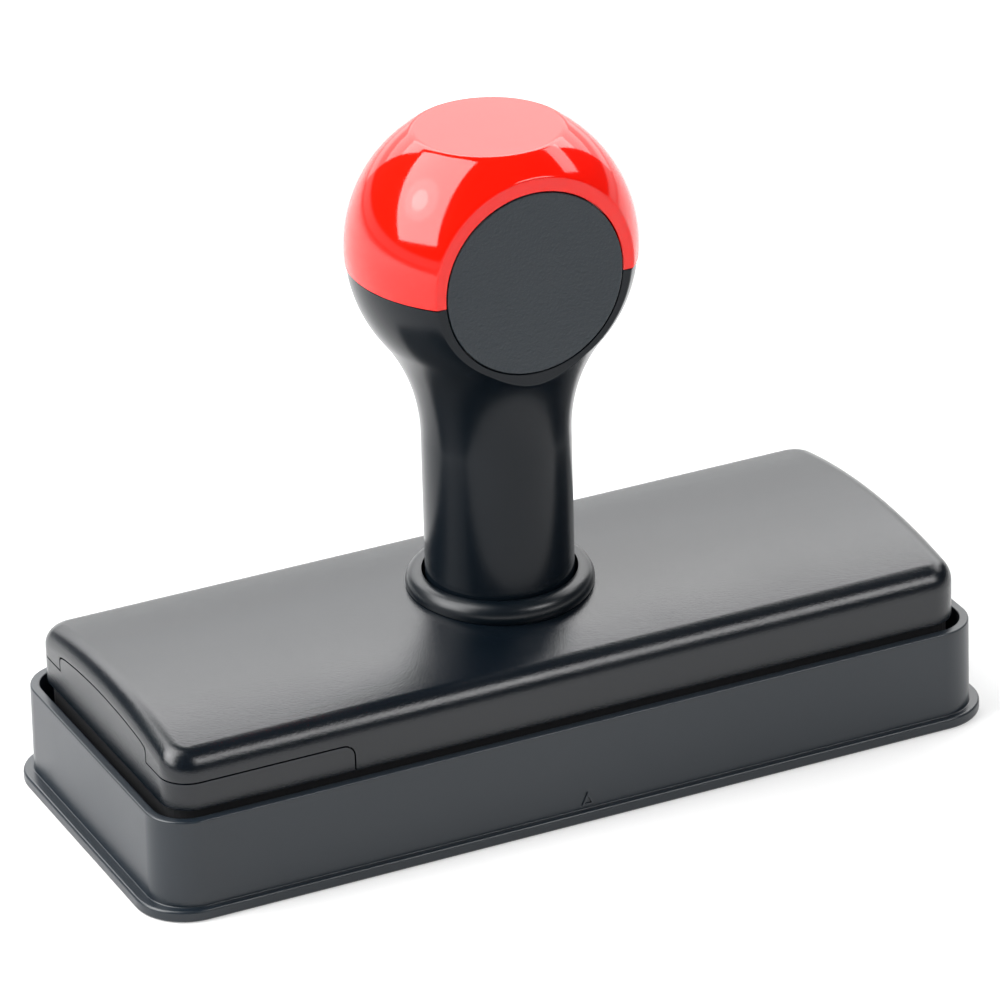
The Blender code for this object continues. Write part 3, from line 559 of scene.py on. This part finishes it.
cover = domed_block("cover_shell", 0.0, COVER_BOTTOM)
carve(cover, domed_block("cover_room", COVER_WALL, COVER_BOTTOM - 1))
for side in (-1, 1):
    rail = [(RAIL_INNER, RAIL_BOTTOM), (RAIL_OUTER, RAIL_BOTTOM), (RAIL_OUTER, RAIL_TOP),
            (RAIL_OUTER - 1, RAIL_TOP), (RAIL_OUTER - 1, RAIL_BOTTOM + 1),
            (RAIL_INNER, RAIL_BOTTOM + 1)]
    rail = [(side * y, z) for y, z in rail]
    carve(cover, along("rail", rail, "X", -26.52, 46.02), "UNION")
for place in SCREW_PLACES:
    carve(cover, pin("screw_boss", BOSS_RADIUS, COVER_BOTTOM, BOSS_TOP, place), "UNION")
for place in SCREW_PLACES:
    carve(cover, pin("pilot_hole", PILOT_RADIUS, COVER_BOTTOM - 1, PILOT_TOP, place))
carve(cover, pin("collar_hole", COLLAR_HOLE, 18.0, 23.0, steps=96))
wings, tongue = seam_form(SEAM / 2)
carve(wings, tongue, "UNION")
carve(cover, wings)
soften_skin(cover, SEAM_EDGE)

# Its lighter edge colour is part rubbed wear, part a painted highlight along the edges.
grained_black = moulded_plastic("grained_black_abs", GRAINED_BLACK, 0.23, 0.15, 0.0170,
                                (0.007, 0.010, 0.015), 0.22)
finish_piece(cover, grained_black, "stamp_unit", ["top_cover"])

# ---------------------------------------------------------------------------------------
# Ink cartridge
# One moulding: end panel and pinch wings in the cover's own grain, and behind them the
# flat tray that slides along the cover's rails.  A felt pad fills the tray.
CARTRIDGE_TAIL = 45.52
PAD_TRAY_HALF = 13.27
PAD_TRAY_BOTTOM = 12.9
PAD_TRAY_FLOOR = 14.6
PAD_TRAY_TOP = 15.8
RUNNER_WIDTH = 1.2
POST_SLOT = 5.5

cartridge = domed_block("cartridge_moulding", 0.0, COVER_BOTTOM)
carve(cartridge, domed_block("panel_room", COVER_WALL, COVER_BOTTOM - 1))
wings, tongue = seam_form(-SEAM / 2)
carve(wings, tongue, "UNION")
carve(cartridge, wings, "INTERSECT")
soften_skin(cartridge, SEAM_EDGE)
half, outer_half = PAD_TRAY_HALF, PAD_TRAY_HALF + RUNNER_WIDTH
runner = [(-half, PAD_TRAY_BOTTOM), (half, PAD_TRAY_BOTTOM), (half, PAD_TRAY_FLOOR),
          (outer_half, PAD_TRAY_FLOOR), (outer_half, PAD_TRAY_TOP),
          (-outer_half, PAD_TRAY_TOP), (-outer_half, PAD_TRAY_FLOOR), (-half, PAD_TRAY_FLOOR)]
carve(cartridge, along("pad_tray", runner, "X", -50.27, CARTRIDGE_TAIL), "UNION")
slot = [(CARTRIDGE_TAIL + 1, -POST_SLOT), (CARTRIDGE_TAIL + 1, POST_SLOT)]
slot += arc((-3.0, 0.0), POST_SLOT, 90, 270, 32)
carve(cartridge, upright("post_slot", slot, PAD_TRAY_BOTTOM - 1, PAD_TRAY_TOP + 1))
pocket = [(-48.52, -12.17), (44.42, -12.17), (44.42, -6.6), (-9.6, -6.6),
          (-9.6, 6.6), (44.42, 6.6), (44.42, 12.17), (-48.52, 12.17)]
carve(cartridge, upright("pad_pocket", pocket, PAD_TRAY_BOTTOM - 1, PAD_TRAY_FLOOR))
finish_piece(cartridge, grained_black, "cartridge", ["cartridge_frame"])

# ---------------------------------------------------------------------------------------
# Neck collar
# Round bead of smooth black plastic that guides the neck.  It lies on the dome, and its
# thin sleeve is pressed through the hole in the cover.
COLLAR_RADIUS = 11.15
COLLAR_BEAD = 1.55
COLLAR_TOP = 23.45
COLLAR_END = 19.2
NECK_HOLE = 9.23
SLEEVE_RADIUS = 9.85
SADDLE_GAP = 0.08
FACE_CENTRE = 64.3


def join_rings(form, first, second, steps):
    """Quads between two rings of points, or triangles where one of them is a point."""
    for k in range(steps):
        m = (k + 1) % steps
        corners = []
        for vertex in (first[k % len(first)], first[m % len(first)],
                       second[m % len(second)], second[k % len(second)]):
            if vertex not in corners:
                corners.append(vertex)
        form.faces.new(corners)


def turned(name, profile, steps=192, forward=False):
    """Closed outline of (radius, height) turned about the stamp's middle line.

    With forward set it is turned about the disc's axis, from back to front, and the
    second number is the distance in front of the ball's centre.
    """
    form = bmesh.new()
    columns = []
    for radius, height in profile:
        ring = []
        for k in range(steps if radius > 1e-6 else 1):
            across = radius * cos(2 * pi * k / steps)
            round_it = radius * sin(2 * pi * k / steps)
            point = ((across, -height, FACE_CENTRE + round_it) if forward
                     else (across, round_it, height))
            ring.append(form.verts.new(Vector(point) * MM))
        columns.append(ring)
    for first, second in zip(columns, columns[1:] + columns[:1]):
        if len(first) > 1 or len(second) > 1:
            join_rings(form, first, second, steps)
    return make_piece(name, form)


def polished_plastic(name, colour, shade, roughness, smudged, specular=0.5):
    """Smooth moulding with a faint flow ripple, finger smudges and hairlines."""
    material, nodes, links, shader, place = start_material(name, colour, roughness)
    shader.inputs["Specular IOR Level"].default_value = specular
    cloud = add_noise(nodes, links, place, 90.0, 2.0)
    mixed = mix_colours(nodes, links, map_value(nodes, links, cloud, 0.0, 1.0), colour, shade)
    links.new(mixed, shader.inputs["Base Color"])
    smudge = add_noise(nodes, links, place, 160.0, 4.0, 0.6)
    hairline = add_noise(nodes, links, place, 900.0, 2.0, 0.5, (1.0, 0.9, 0.06))
    rough = nodes.new("ShaderNodeMath")
    rough.operation = "ADD"
    links.new(map_value(nodes, links, smudge, roughness, smudged), rough.inputs[0])
    links.new(map_value(nodes, links, hairline, 0.0, 0.03, 0.62, 0.75), rough.inputs[1])
    links.new(rough.outputs[0], shader.inputs["Roughness"])
    ripple = add_noise(nodes, links, place, 260.0, 1.0)
    add_bump(nodes, links, shader, ripple, 0.0035)
    return material


collar_black = polished_plastic("collar_black_abs", (0.0016, 0.0036, 0.0060),
                                (0.0022, 0.0046, 0.0074), 0.28, 0.33, 0.4)
bead_middle = COLLAR_RADIUS - COLLAR_BEAD
bead_start = degrees(acos((NECK_HOLE - bead_middle) / COLLAR_BEAD))
bead = arc((bead_middle, COLLAR_TOP - COLLAR_BEAD), COLLAR_BEAD, bead_start, -62, 36)
bead += [(bead[-1][0], COLLAR_END + 1), (SLEEVE_RADIUS, COLLAR_END + 1),
         (SLEEVE_RADIUS, COLLAR_END), (NECK_HOLE, COLLAR_END)]
collar = turned("collar_bead", bead)
reach = COLLAR_RADIUS + 1
under = [(reach, COLLAR_END), (-reach, COLLAR_END)]
for i in range(49):
    y = reach * (2 * i / 48 - 1)
    under.append((y, dome_height(y) + SADDLE_GAP))
saddle = along("dome_form", under, "X", -reach, reach)
carve(saddle, pin("sleeve_form", SLEEVE_RADIUS, COLLAR_END - 1, COLLAR_TOP + 1, steps=192))
carve(collar, saddle)
finish_piece(collar, collar_black, "stamp_unit", ["neck_collar"])

# ---------------------------------------------------------------------------------------
# Handle and ball
# The neck and the ball's lower half are one glossy black moulding; the red cap plugs into
# it at a hair seam.  Both are cut by one front flat with a round recess for the disc.
BALL_RADIUS = 17.05
LOWER_RADIUS = 16.85
SEAM_LOW = 63.45
SEAM_HIGH = 63.55
NECK_RADIUS = 8.8
NECK_FLARE = 22.0
NECK_END = 19.6
FACET_HEIGHT = 14.6
FACET_EDGE = 0.42
FRONT_FLAT = 11.6
FLAT_EDGE = 0.17
RECESS_RADIUS = 11.15
RECESS_FLOOR = 10.1
CUP_RADIUS = 8.5
CUP_FLOOR = 50.0
BORE_RADIUS = 6.4
BORE_FLOOR = 24.0
SPIGOT_RADIUS = 8.2
SPIGOT_END = 58.3
CAP_ROOM_RADIUS = 6.9
CAP_CROWN_WALL = 3.3
CHAMFER = 0.06
GLOSS_BLACK = (0.0025, 0.0050, 0.0080)
GLOSS_RED = (0.93, 0.0065, 0.0010)


def bend(start, corner, end, steps):
    """Rounded corner between two points."""
    points = []
    for i in range(steps + 1):
        t = i / steps
        points.append(tuple((1 - t) ** 2 * a + 2 * t * (1 - t) * b + t * t * c
                            for a, b, c in zip(start, corner, end)))
    return points


def face_front(piece, ball_radius):
    """Cut the front flat with a rounded edge, then the disc's recess in it."""
    form = bmesh.new()
    form.from_mesh(piece.data)
    start = FRONT_FLAT - FLAT_EDGE
    bmesh.ops.bisect_plane(form, geom=form.verts[:] + form.edges[:] + form.faces[:],
                           plane_co=(0, -start * MM, 0), plane_no=(0, -1, 0),
                           clear_outer=True)
    rim = [v for v in form.verts if v.is_boundary]
    bmesh.ops.remove_doubles(form, verts=rim, dist=0.03 * MM)
    rim_edges = [e for e in form.edges if e.is_boundary]
    loop = [rim_edges[0].verts[0], rim_edges[0].verts[1]]
    used = {rim_edges[0]}
    while True:
        step = next((e for e in loop[-1].link_edges if e.is_boundary and e not in used), None)
        if step is None:
            break
        used.add(step)
        loop.append(step.other_vert(loop[-1]))
    loop.pop()
    outer = sqrt(ball_radius ** 2 - start ** 2)
    corner = (outer - start * FLAT_EDGE / outer, FRONT_FLAT)
    inner = (corner[0] - FLAT_EDGE * ball_radius / outer, FRONT_FLAT)
    first = [v.co.copy() for v in loop]
    for radius, forward in bend((outer, start), corner, inner, 6)[1:]:
        share = radius / outer
        ring = [form.verts.new((p.x * share, -forward * MM,
                                BALL_CENTRE * MM + (p.z - BALL_CENTRE * MM) * share))
                for p in first]
        for i in range(len(ring)):
            j = (i + 1) % len(ring)
            form.faces.new((loop[i], loop[j], ring[j], ring[i]))
        loop = ring
    form.faces.new(loop)
    bmesh.ops.recalc_face_normals(form, faces=form.faces)
    form.to_mesh(piece.data)
    form.free()
    recess = [(0.0, RECESS_FLOOR), (RECESS_RADIUS, RECESS_FLOOR),
              (RECESS_RADIUS, FRONT_FLAT - CHAMFER),
              (RECESS_RADIUS + 2 * CHAMFER, FRONT_FLAT + CHAMFER),
              (RECESS_RADIUS + 2 * CHAMFER, 20.0), (0.0, 20.0)]
    carve(piece, turned("disc_recess", recess, forward=True))


def ball_angle(radius, height):
    """Angle at the ball's centre of the point of that radius at that height."""
    rise = height - BALL_CENTRE
    return degrees(atan2(rise, sqrt(radius ** 2 - rise ** 2)))


rise = sqrt((LOWER_RADIUS + NECK_FLARE) ** 2 - (NECK_RADIUS + NECK_FLARE) ** 2)
touch = degrees(atan2(-rise, NECK_RADIUS + NECK_FLARE))
seam_reach = sqrt(LOWER_RADIUS ** 2 - (BALL_CENTRE - SEAM_LOW) ** 2)
neck_outline = [(seam_reach - 0.1, SEAM_LOW)]
neck_outline += arc((0.0, BALL_CENTRE), LOWER_RADIUS,
                    ball_angle(LOWER_RADIUS, SEAM_LOW - 0.1), touch, 36)
neck_outline += arc((NECK_RADIUS + NECK_FLARE, BALL_CENTRE - rise), NECK_FLARE,
                    180 + touch, 180, 30)[1:]
neck_outline += [(NECK_RADIUS, 30.0), (NECK_RADIUS, NECK_END + 0.4),
                 (NECK_RADIUS - 0.4, NECK_END), (1.8, NECK_END), (1.8, BORE_FLOOR),
                 (BORE_RADIUS, BORE_FLOOR), (BORE_RADIUS, CUP_FLOOR), (CUP_RADIUS, CUP_FLOOR),
                 (CUP_RADIUS, SEAM_LOW)]
handle = turned("handle_moulding", neck_outline)
face_front(handle, LOWER_RADIUS)

facet = sqrt(BALL_RADIUS ** 2 - FACET_HEIGHT ** 2)
crown = BALL_CENTRE + FACET_HEIGHT
brow = degrees(atan2(FACET_HEIGHT, facet)) - degrees(FACET_EDGE / BALL_RADIUS)
brow_point = (BALL_RADIUS * cos(radians(brow)), BALL_CENTRE + BALL_RADIUS * sin(radians(brow)))
cap_reach = sqrt(BALL_RADIUS ** 2 - (BALL_CENTRE - SEAM_HIGH) ** 2)
cap_outline = [(0.0, crown)] + bend((facet - FACET_EDGE, crown), (facet, crown), brow_point, 8)
cap_outline += arc((0.0, BALL_CENTRE), BALL_RADIUS, brow,
                   ball_angle(BALL_RADIUS, SEAM_HIGH + 0.1), 60)[1:]
cap_outline += [(cap_reach - 0.1, SEAM_HIGH), (SPIGOT_RADIUS, SEAM_HIGH),
                (SPIGOT_RADIUS, SPIGOT_END), (CAP_ROOM_RADIUS, SPIGOT_END),
                (CAP_ROOM_RADIUS, crown - CAP_CROWN_WALL), (0.0, crown - CAP_CROWN_WALL)]
cap = turned("ball_cap_moulding", cap_outline)
face_front(cap, BALL_RADIUS)

gloss_black = polished_plastic("gloss_black_abs", GLOSS_BLACK, (0.004, 0.0065, 0.0095),
                               0.20, 0.24, 0.23)
gloss_red = polished_plastic("gloss_red_abs", GLOSS_RED, (0.90, 0.0055, 0.0008),
                             0.055, 0.085)
finish_piece(handle, gloss_black, "plunger", ["handle_body"], 24.0)
finish_piece(cap, gloss_red, "plunger", ["ball_cap"], 24.0)
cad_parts["press_post"].material_slots[0].material = gloss_black

# ---------------------------------------------------------------------------------------
# Front disc
# Round grained plate that snaps into the ball's front recess and covers the joint between
# the two halves there.  It stands a hair proud of the flat and is left bare.
DISC_RADIUS = 11.02
DISC_FRONT = 11.7
DISC_BACK = RECESS_FLOOR + 0.3
DISC_EDGE = 0.2
disc_outline = [(0.0, DISC_BACK), (DISC_RADIUS, DISC_BACK)]
disc_outline += bend((DISC_RADIUS, DISC_FRONT - DISC_EDGE), (DISC_RADIUS, DISC_FRONT),
                     (DISC_RADIUS - DISC_EDGE, DISC_FRONT), 6)
disc_outline += [(0.0, DISC_FRONT)]
disc = turned("disc_plate", disc_outline, forward=True)
# Its lighter edge colour is part rubbed wear, part a painted highlight along the edges.
disc_grey = moulded_plastic("disc_grey_abs", (0.006, 0.0125, 0.019), 0.40, 0.28, 0.070,
                            (0.028, 0.034, 0.039), 0.40)
finish_piece(disc, disc_grey, "plunger", ["front_disc"])

# ---------------------------------------------------------------------------------------
# Lower housing, carriage and post
# Plain black mouldings under the cover, left as the tool made them: satin, with a fine
# grain and soft cloudiness.  They keep the shapes of the CAD solids.
# Its lighter edge colour is part rubbed wear, part a painted highlight along the edges.
inner_black = moulded_plastic("inner_black_abs", (0.019, 0.0195, 0.021), 0.46, 0.30, 0.006,
                              (0.032, 0.033, 0.035), 0.38)
for node in ("chassis", "die_carriage"):
    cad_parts[node].material_slots[0].material = inner_black

# ---------------------------------------------------------------------------------------
# Printing plate
# Laser-cut rubber sheet stuck to the carriage, with a blank face.  Brick red, dull, and
# stained darker where ink has come through from the felts behind it.
die_rubber, nodes, links, shader, place = start_material("die_rubber",
                                                         (0.11, 0.022, 0.02), 0.78)
stain = add_noise(nodes, links, place, 70.0, 4.0, 0.6)
links.new(mix_colours(nodes, links, map_value(nodes, links, stain, 0.0, 1.0),
                      (0.12, 0.024, 0.021), (0.045, 0.010, 0.016)),
          shader.inputs["Base Color"])
links.new(map_value(nodes, links, stain, 0.84, 0.66), shader.inputs["Roughness"])
stipple = add_noise(nodes, links, place, 5200.0, 2.0, 0.7)
add_bump(nodes, links, shader, stipple, 0.02)
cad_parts["stamp_die"].material_slots[0].material = die_rubber

# ---------------------------------------------------------------------------------------
# Ink pad and feed felts
# Wool felt, cut square and soaked with black ink, so it is matted, nearly black and
# glistens a little where the ink lies wet between the fibres.
ink_felt, nodes, links, shader, place = start_material("ink_felt", (0.012, 0.012, 0.019), 0.9)
fibres = add_noise(nodes, links, place, 2600.0, 5.0, 0.75, (1.0, 0.35, 0.7))
tufts = add_noise(nodes, links, place, 700.0, 3.0, 0.6)
links.new(mix_colours(nodes, links, map_value(nodes, links, fibres, 0.0, 1.0),
                      (0.006, 0.006, 0.011), (0.028, 0.028, 0.038)),
          shader.inputs["Base Color"])
links.new(map_value(nodes, links, tufts, 0.55, 0.95), shader.inputs["Roughness"])
shader.inputs["Sheen Weight"].default_value = 0.25
add_bump(nodes, links, shader, fibres, 0.12)
for node in ("ink_pad", "feed_felt_left", "feed_felt_right"):
    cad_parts[node].material_slots[0].material = ink_felt

# ---------------------------------------------------------------------------------------
# Cover screws and tie screw
# Small zinc-plated steel screws.  Four come up through the lower housing's bosses into the
# cover; one with a washer draws the handle down onto the carriage.
SCREW_BODY = 0.8
SCREW_CREST = 1.0
SCREW_HEAD = 1.5
SCREW_PITCH = 0.75
HEAD_BOTTOM = 4.1
SCREW_TIP = 17.9


def plated_steel(name, colour, roughness, brushed):
    """Plated steel wire or bar: fine drawing lines and a slightly uneven, dulled plate."""
    material, nodes, links, shader, place = start_material(name, colour, roughness, 1.0)
    cloud = add_noise(nodes, links, place, 420.0, 3.0)
    lines = add_noise(nodes, links, place, 3000.0, 3.0, 0.6, brushed)
    dull = tuple(0.72 * c for c in colour)
    links.new(mix_colours(nodes, links, map_value(nodes, links, cloud, 0.0, 1.0), colour, dull),
              shader.inputs["Base Color"])
    links.new(map_value(nodes, links, lines, roughness - 0.06, roughness + 0.12),
              shader.inputs["Roughness"])
    add_bump(nodes, links, shader, lines, 0.004)
    return material


def repeat_piece(name, sample_tree, places, values):
    """Run a tree of Geometry Nodes on a handful of points and keep the plain mesh."""
    spots = bpy.data.meshes.new(name)
    spots.from_pydata([Vector(p) * MM for p in places], [], [])
    piece = bpy.data.objects.new(name, spots)
    scene.collection.objects.link(piece)
    modifier = piece.modifiers.new("repeat", "NODES")
    modifier.node_group = sample_tree
    for item in sample_tree.interface.items_tree:
        if item.item_type == "SOCKET" and item.in_out == "INPUT" and item.name in values:
            modifier[item.identifier] = values[item.name]
    settle(piece)
    return piece


def start_tree(name, inputs):
    tree = bpy.data.node_groups.new(name, "GeometryNodeTree")
    tree.interface.new_socket("Geometry", in_out="INPUT", socket_type="NodeSocketGeometry")
    for label, kind in inputs:
        tree.interface.new_socket(label, in_out="INPUT", socket_type=kind)
    tree.interface.new_socket("Geometry", in_out="OUTPUT", socket_type="NodeSocketGeometry")
    return tree, tree.nodes.new("NodeGroupInput"), tree.nodes.new("NodeGroupOutput")


def end_tree(tree, points, sample, source, result, turn=None):
    """Put the sample on every point, realize the copies and give them their material."""
    spread = tree.nodes.new("GeometryNodeInstanceOnPoints")
    real = tree.nodes.new("GeometryNodeRealizeInstances")
    dress = tree.nodes.new("GeometryNodeSetMaterial")
    tree.links.new(points, spread.inputs["Points"])
    tree.links.new(sample, spread.inputs["Instance"])
    if turn:
        tree.links.new(turn, spread.inputs["Rotation"])
    tree.links.new(spread.outputs[0], real.inputs[0])
    tree.links.new(real.outputs[0], dress.inputs["Geometry"])
    tree.links.new(source.outputs["Material"], dress.inputs["Material"])
    tree.links.new(dress.outputs[0], result.inputs[0])


# One screw, standing on the origin: domed head with a cross recess, and a rolled thread.
screw_length = SCREW_TIP - HEAD_BOTTOM
screw_rows = [(0.0, 0.0, 0.0)]
for r, z in ((0.9, 0.02), (1.25, 0.12), (SCREW_HEAD, 0.34), (SCREW_HEAD, 0.70),
             (SCREW_BODY, 0.70)):
    screw_rows.append((r, z, 0.0))
thread_rows = 150
for i in range(thread_rows + 1):
    screw_rows.append((SCREW_BODY, 0.80 + (screw_length - 1.5) * i / thread_rows, 1.0))
screw_rows += [(0.45, screw_length - 0.3, 0.0), (0.0, screw_length, 0.0)]
screw_form = bmesh.new()
sides = 20
screw_columns = []
for radius, height, threaded in screw_rows:
    ring = []
    for k in range(sides if radius else 1):
        angle = 2 * pi * k / sides
        turn = (height / SCREW_PITCH - k / sides) % 1.0
        r = radius + threaded * (SCREW_CREST - SCREW_BODY) * max(0.0, 1 - abs(turn - 0.5) * 3.2)
        ring.append(screw_form.verts.new(Vector((r * cos(angle), r * sin(angle), height)) * MM))
    screw_columns.append(ring)
for first, second in zip(screw_columns, screw_columns[1:]):
    join_rings(screw_form, first, second, sides)
screw_sample = make_piece("screw_sample", screw_form)
for long_x, long_y in ((0.95, 0.19), (0.19, 0.95)):
    bar = [(-long_x, -long_y), (long_x, -long_y), (long_x, long_y), (-long_x, long_y)]
    inner = [(0.7 * x, 0.7 * y) for x, y in bar]
    carve(screw_sample, closed_stack("driver_slot", [[(x, y, -0.2) for x, y in bar],
                                                     [(x, y, 0.45) for x, y in inner]]))

screw_tree, source, result = start_tree(
    "screws_on_bosses", [("Screw", "NodeSocketObject"), ("Turn", "NodeSocketFloat"),
                         ("Material", "NodeSocketMaterial")])
sample = screw_tree.nodes.new("GeometryNodeObjectInfo")
chance = screw_tree.nodes.new("FunctionNodeRandomValue")
chance.data_type = "FLOAT"
chance.inputs["Seed"].default_value = 4
upright_turn = screw_tree.nodes.new("ShaderNodeCombineXYZ")
screw_tree.links.new(source.outputs["Screw"], sample.inputs["Object"])
screw_tree.links.new(source.outputs["Turn"], chance.inputs[3])
screw_tree.links.new(chance.outputs[1], upright_turn.inputs["Z"])
end_tree(screw_tree, source.outputs["Geometry"], sample.outputs["Geometry"], source, result,
         upright_turn.outputs[0])
plated = plated_steel("plated_steel", (0.60, 0.60, 0.62), 0.27, (1.0, 1.0, 0.2))
screws = repeat_piece("cover_screws", screw_tree,
                      [(x, y, HEAD_BOTTOM) for x, y in SCREW_PLACES],
                      {"Screw": screw_sample, "Turn": pi, "Material": plated})
bpy.data.objects.remove(screw_sample, do_unlink=True)
finish_piece(screws, plated, "stamp_unit",
             ["cover_screw_%d" % number for number in (1, 2, 3, 4)])
for node in ("tie_screw", "tie_washer"):
    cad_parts[node].material_slots[0].material = plated

# ---------------------------------------------------------------------------------------
# Return springs
# Four coils of bright spring wire stand on pegs in the lower housing and lift the carriage
# by its ears.
SPRING_PLACES = [(x, y) for x in (-47.17, 47.17) for y in (-8.97, 8.97)]
SPRING_LOW = 5.7
SPRING_HIGH = 10.7
SPRING_RADIUS = 1.35
SPRING_WIRE = 0.25
SPRING_TURNS = 4.5

spring_tree, source, result = start_tree(
    "springs_on_pegs", [("Coil Radius", "NodeSocketFloat"), ("Wire Radius", "NodeSocketFloat"),
                        ("Height", "NodeSocketFloat"), ("Turns", "NodeSocketFloat"),
                        ("Material", "NodeSocketMaterial")])
coil = spring_tree.nodes.new("GeometryNodeCurveSpiral")
coil.inputs["Resolution"].default_value = 36
wire = spring_tree.nodes.new("GeometryNodeCurvePrimitiveCircle")
wire.inputs["Resolution"].default_value = 12
sweep = spring_tree.nodes.new("GeometryNodeCurveToMesh")
sweep.inputs["Fill Caps"].default_value = True
spring_tree.links.new(source.outputs["Coil Radius"], coil.inputs["Start Radius"])
spring_tree.links.new(source.outputs["Coil Radius"], coil.inputs["End Radius"])
spring_tree.links.new(source.outputs["Height"], coil.inputs["Height"])
spring_tree.links.new(source.outputs["Turns"], coil.inputs["Rotations"])
spring_tree.links.new(source.outputs["Wire Radius"], wire.inputs["Radius"])
spring_tree.links.new(coil.outputs[0], sweep.inputs["Curve"])
spring_tree.links.new(wire.outputs[0], sweep.inputs["Profile Curve"])
end_tree(spring_tree, source.outputs["Geometry"], sweep.outputs[0], source, result)
spring_wire = plated_steel("spring_wire", (0.50, 0.50, 0.52), 0.24, (1.0, 1.0, 3.0))
springs = repeat_piece("return_springs", spring_tree,
                       [(x, y, SPRING_LOW + SPRING_WIRE) for x, y in SPRING_PLACES],
                       {"Coil Radius": SPRING_RADIUS * MM, "Wire Radius": SPRING_WIRE * MM,
                        "Height": (SPRING_HIGH - SPRING_LOW - 2 * SPRING_WIRE) * MM,
                        "Turns": SPRING_TURNS, "Material": spring_wire})
finish_piece(springs, spring_wire, "stamp_unit",
             ["return_spring_%d" % number for number in (1, 2, 3, 4)], 60.0)
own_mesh(springs)
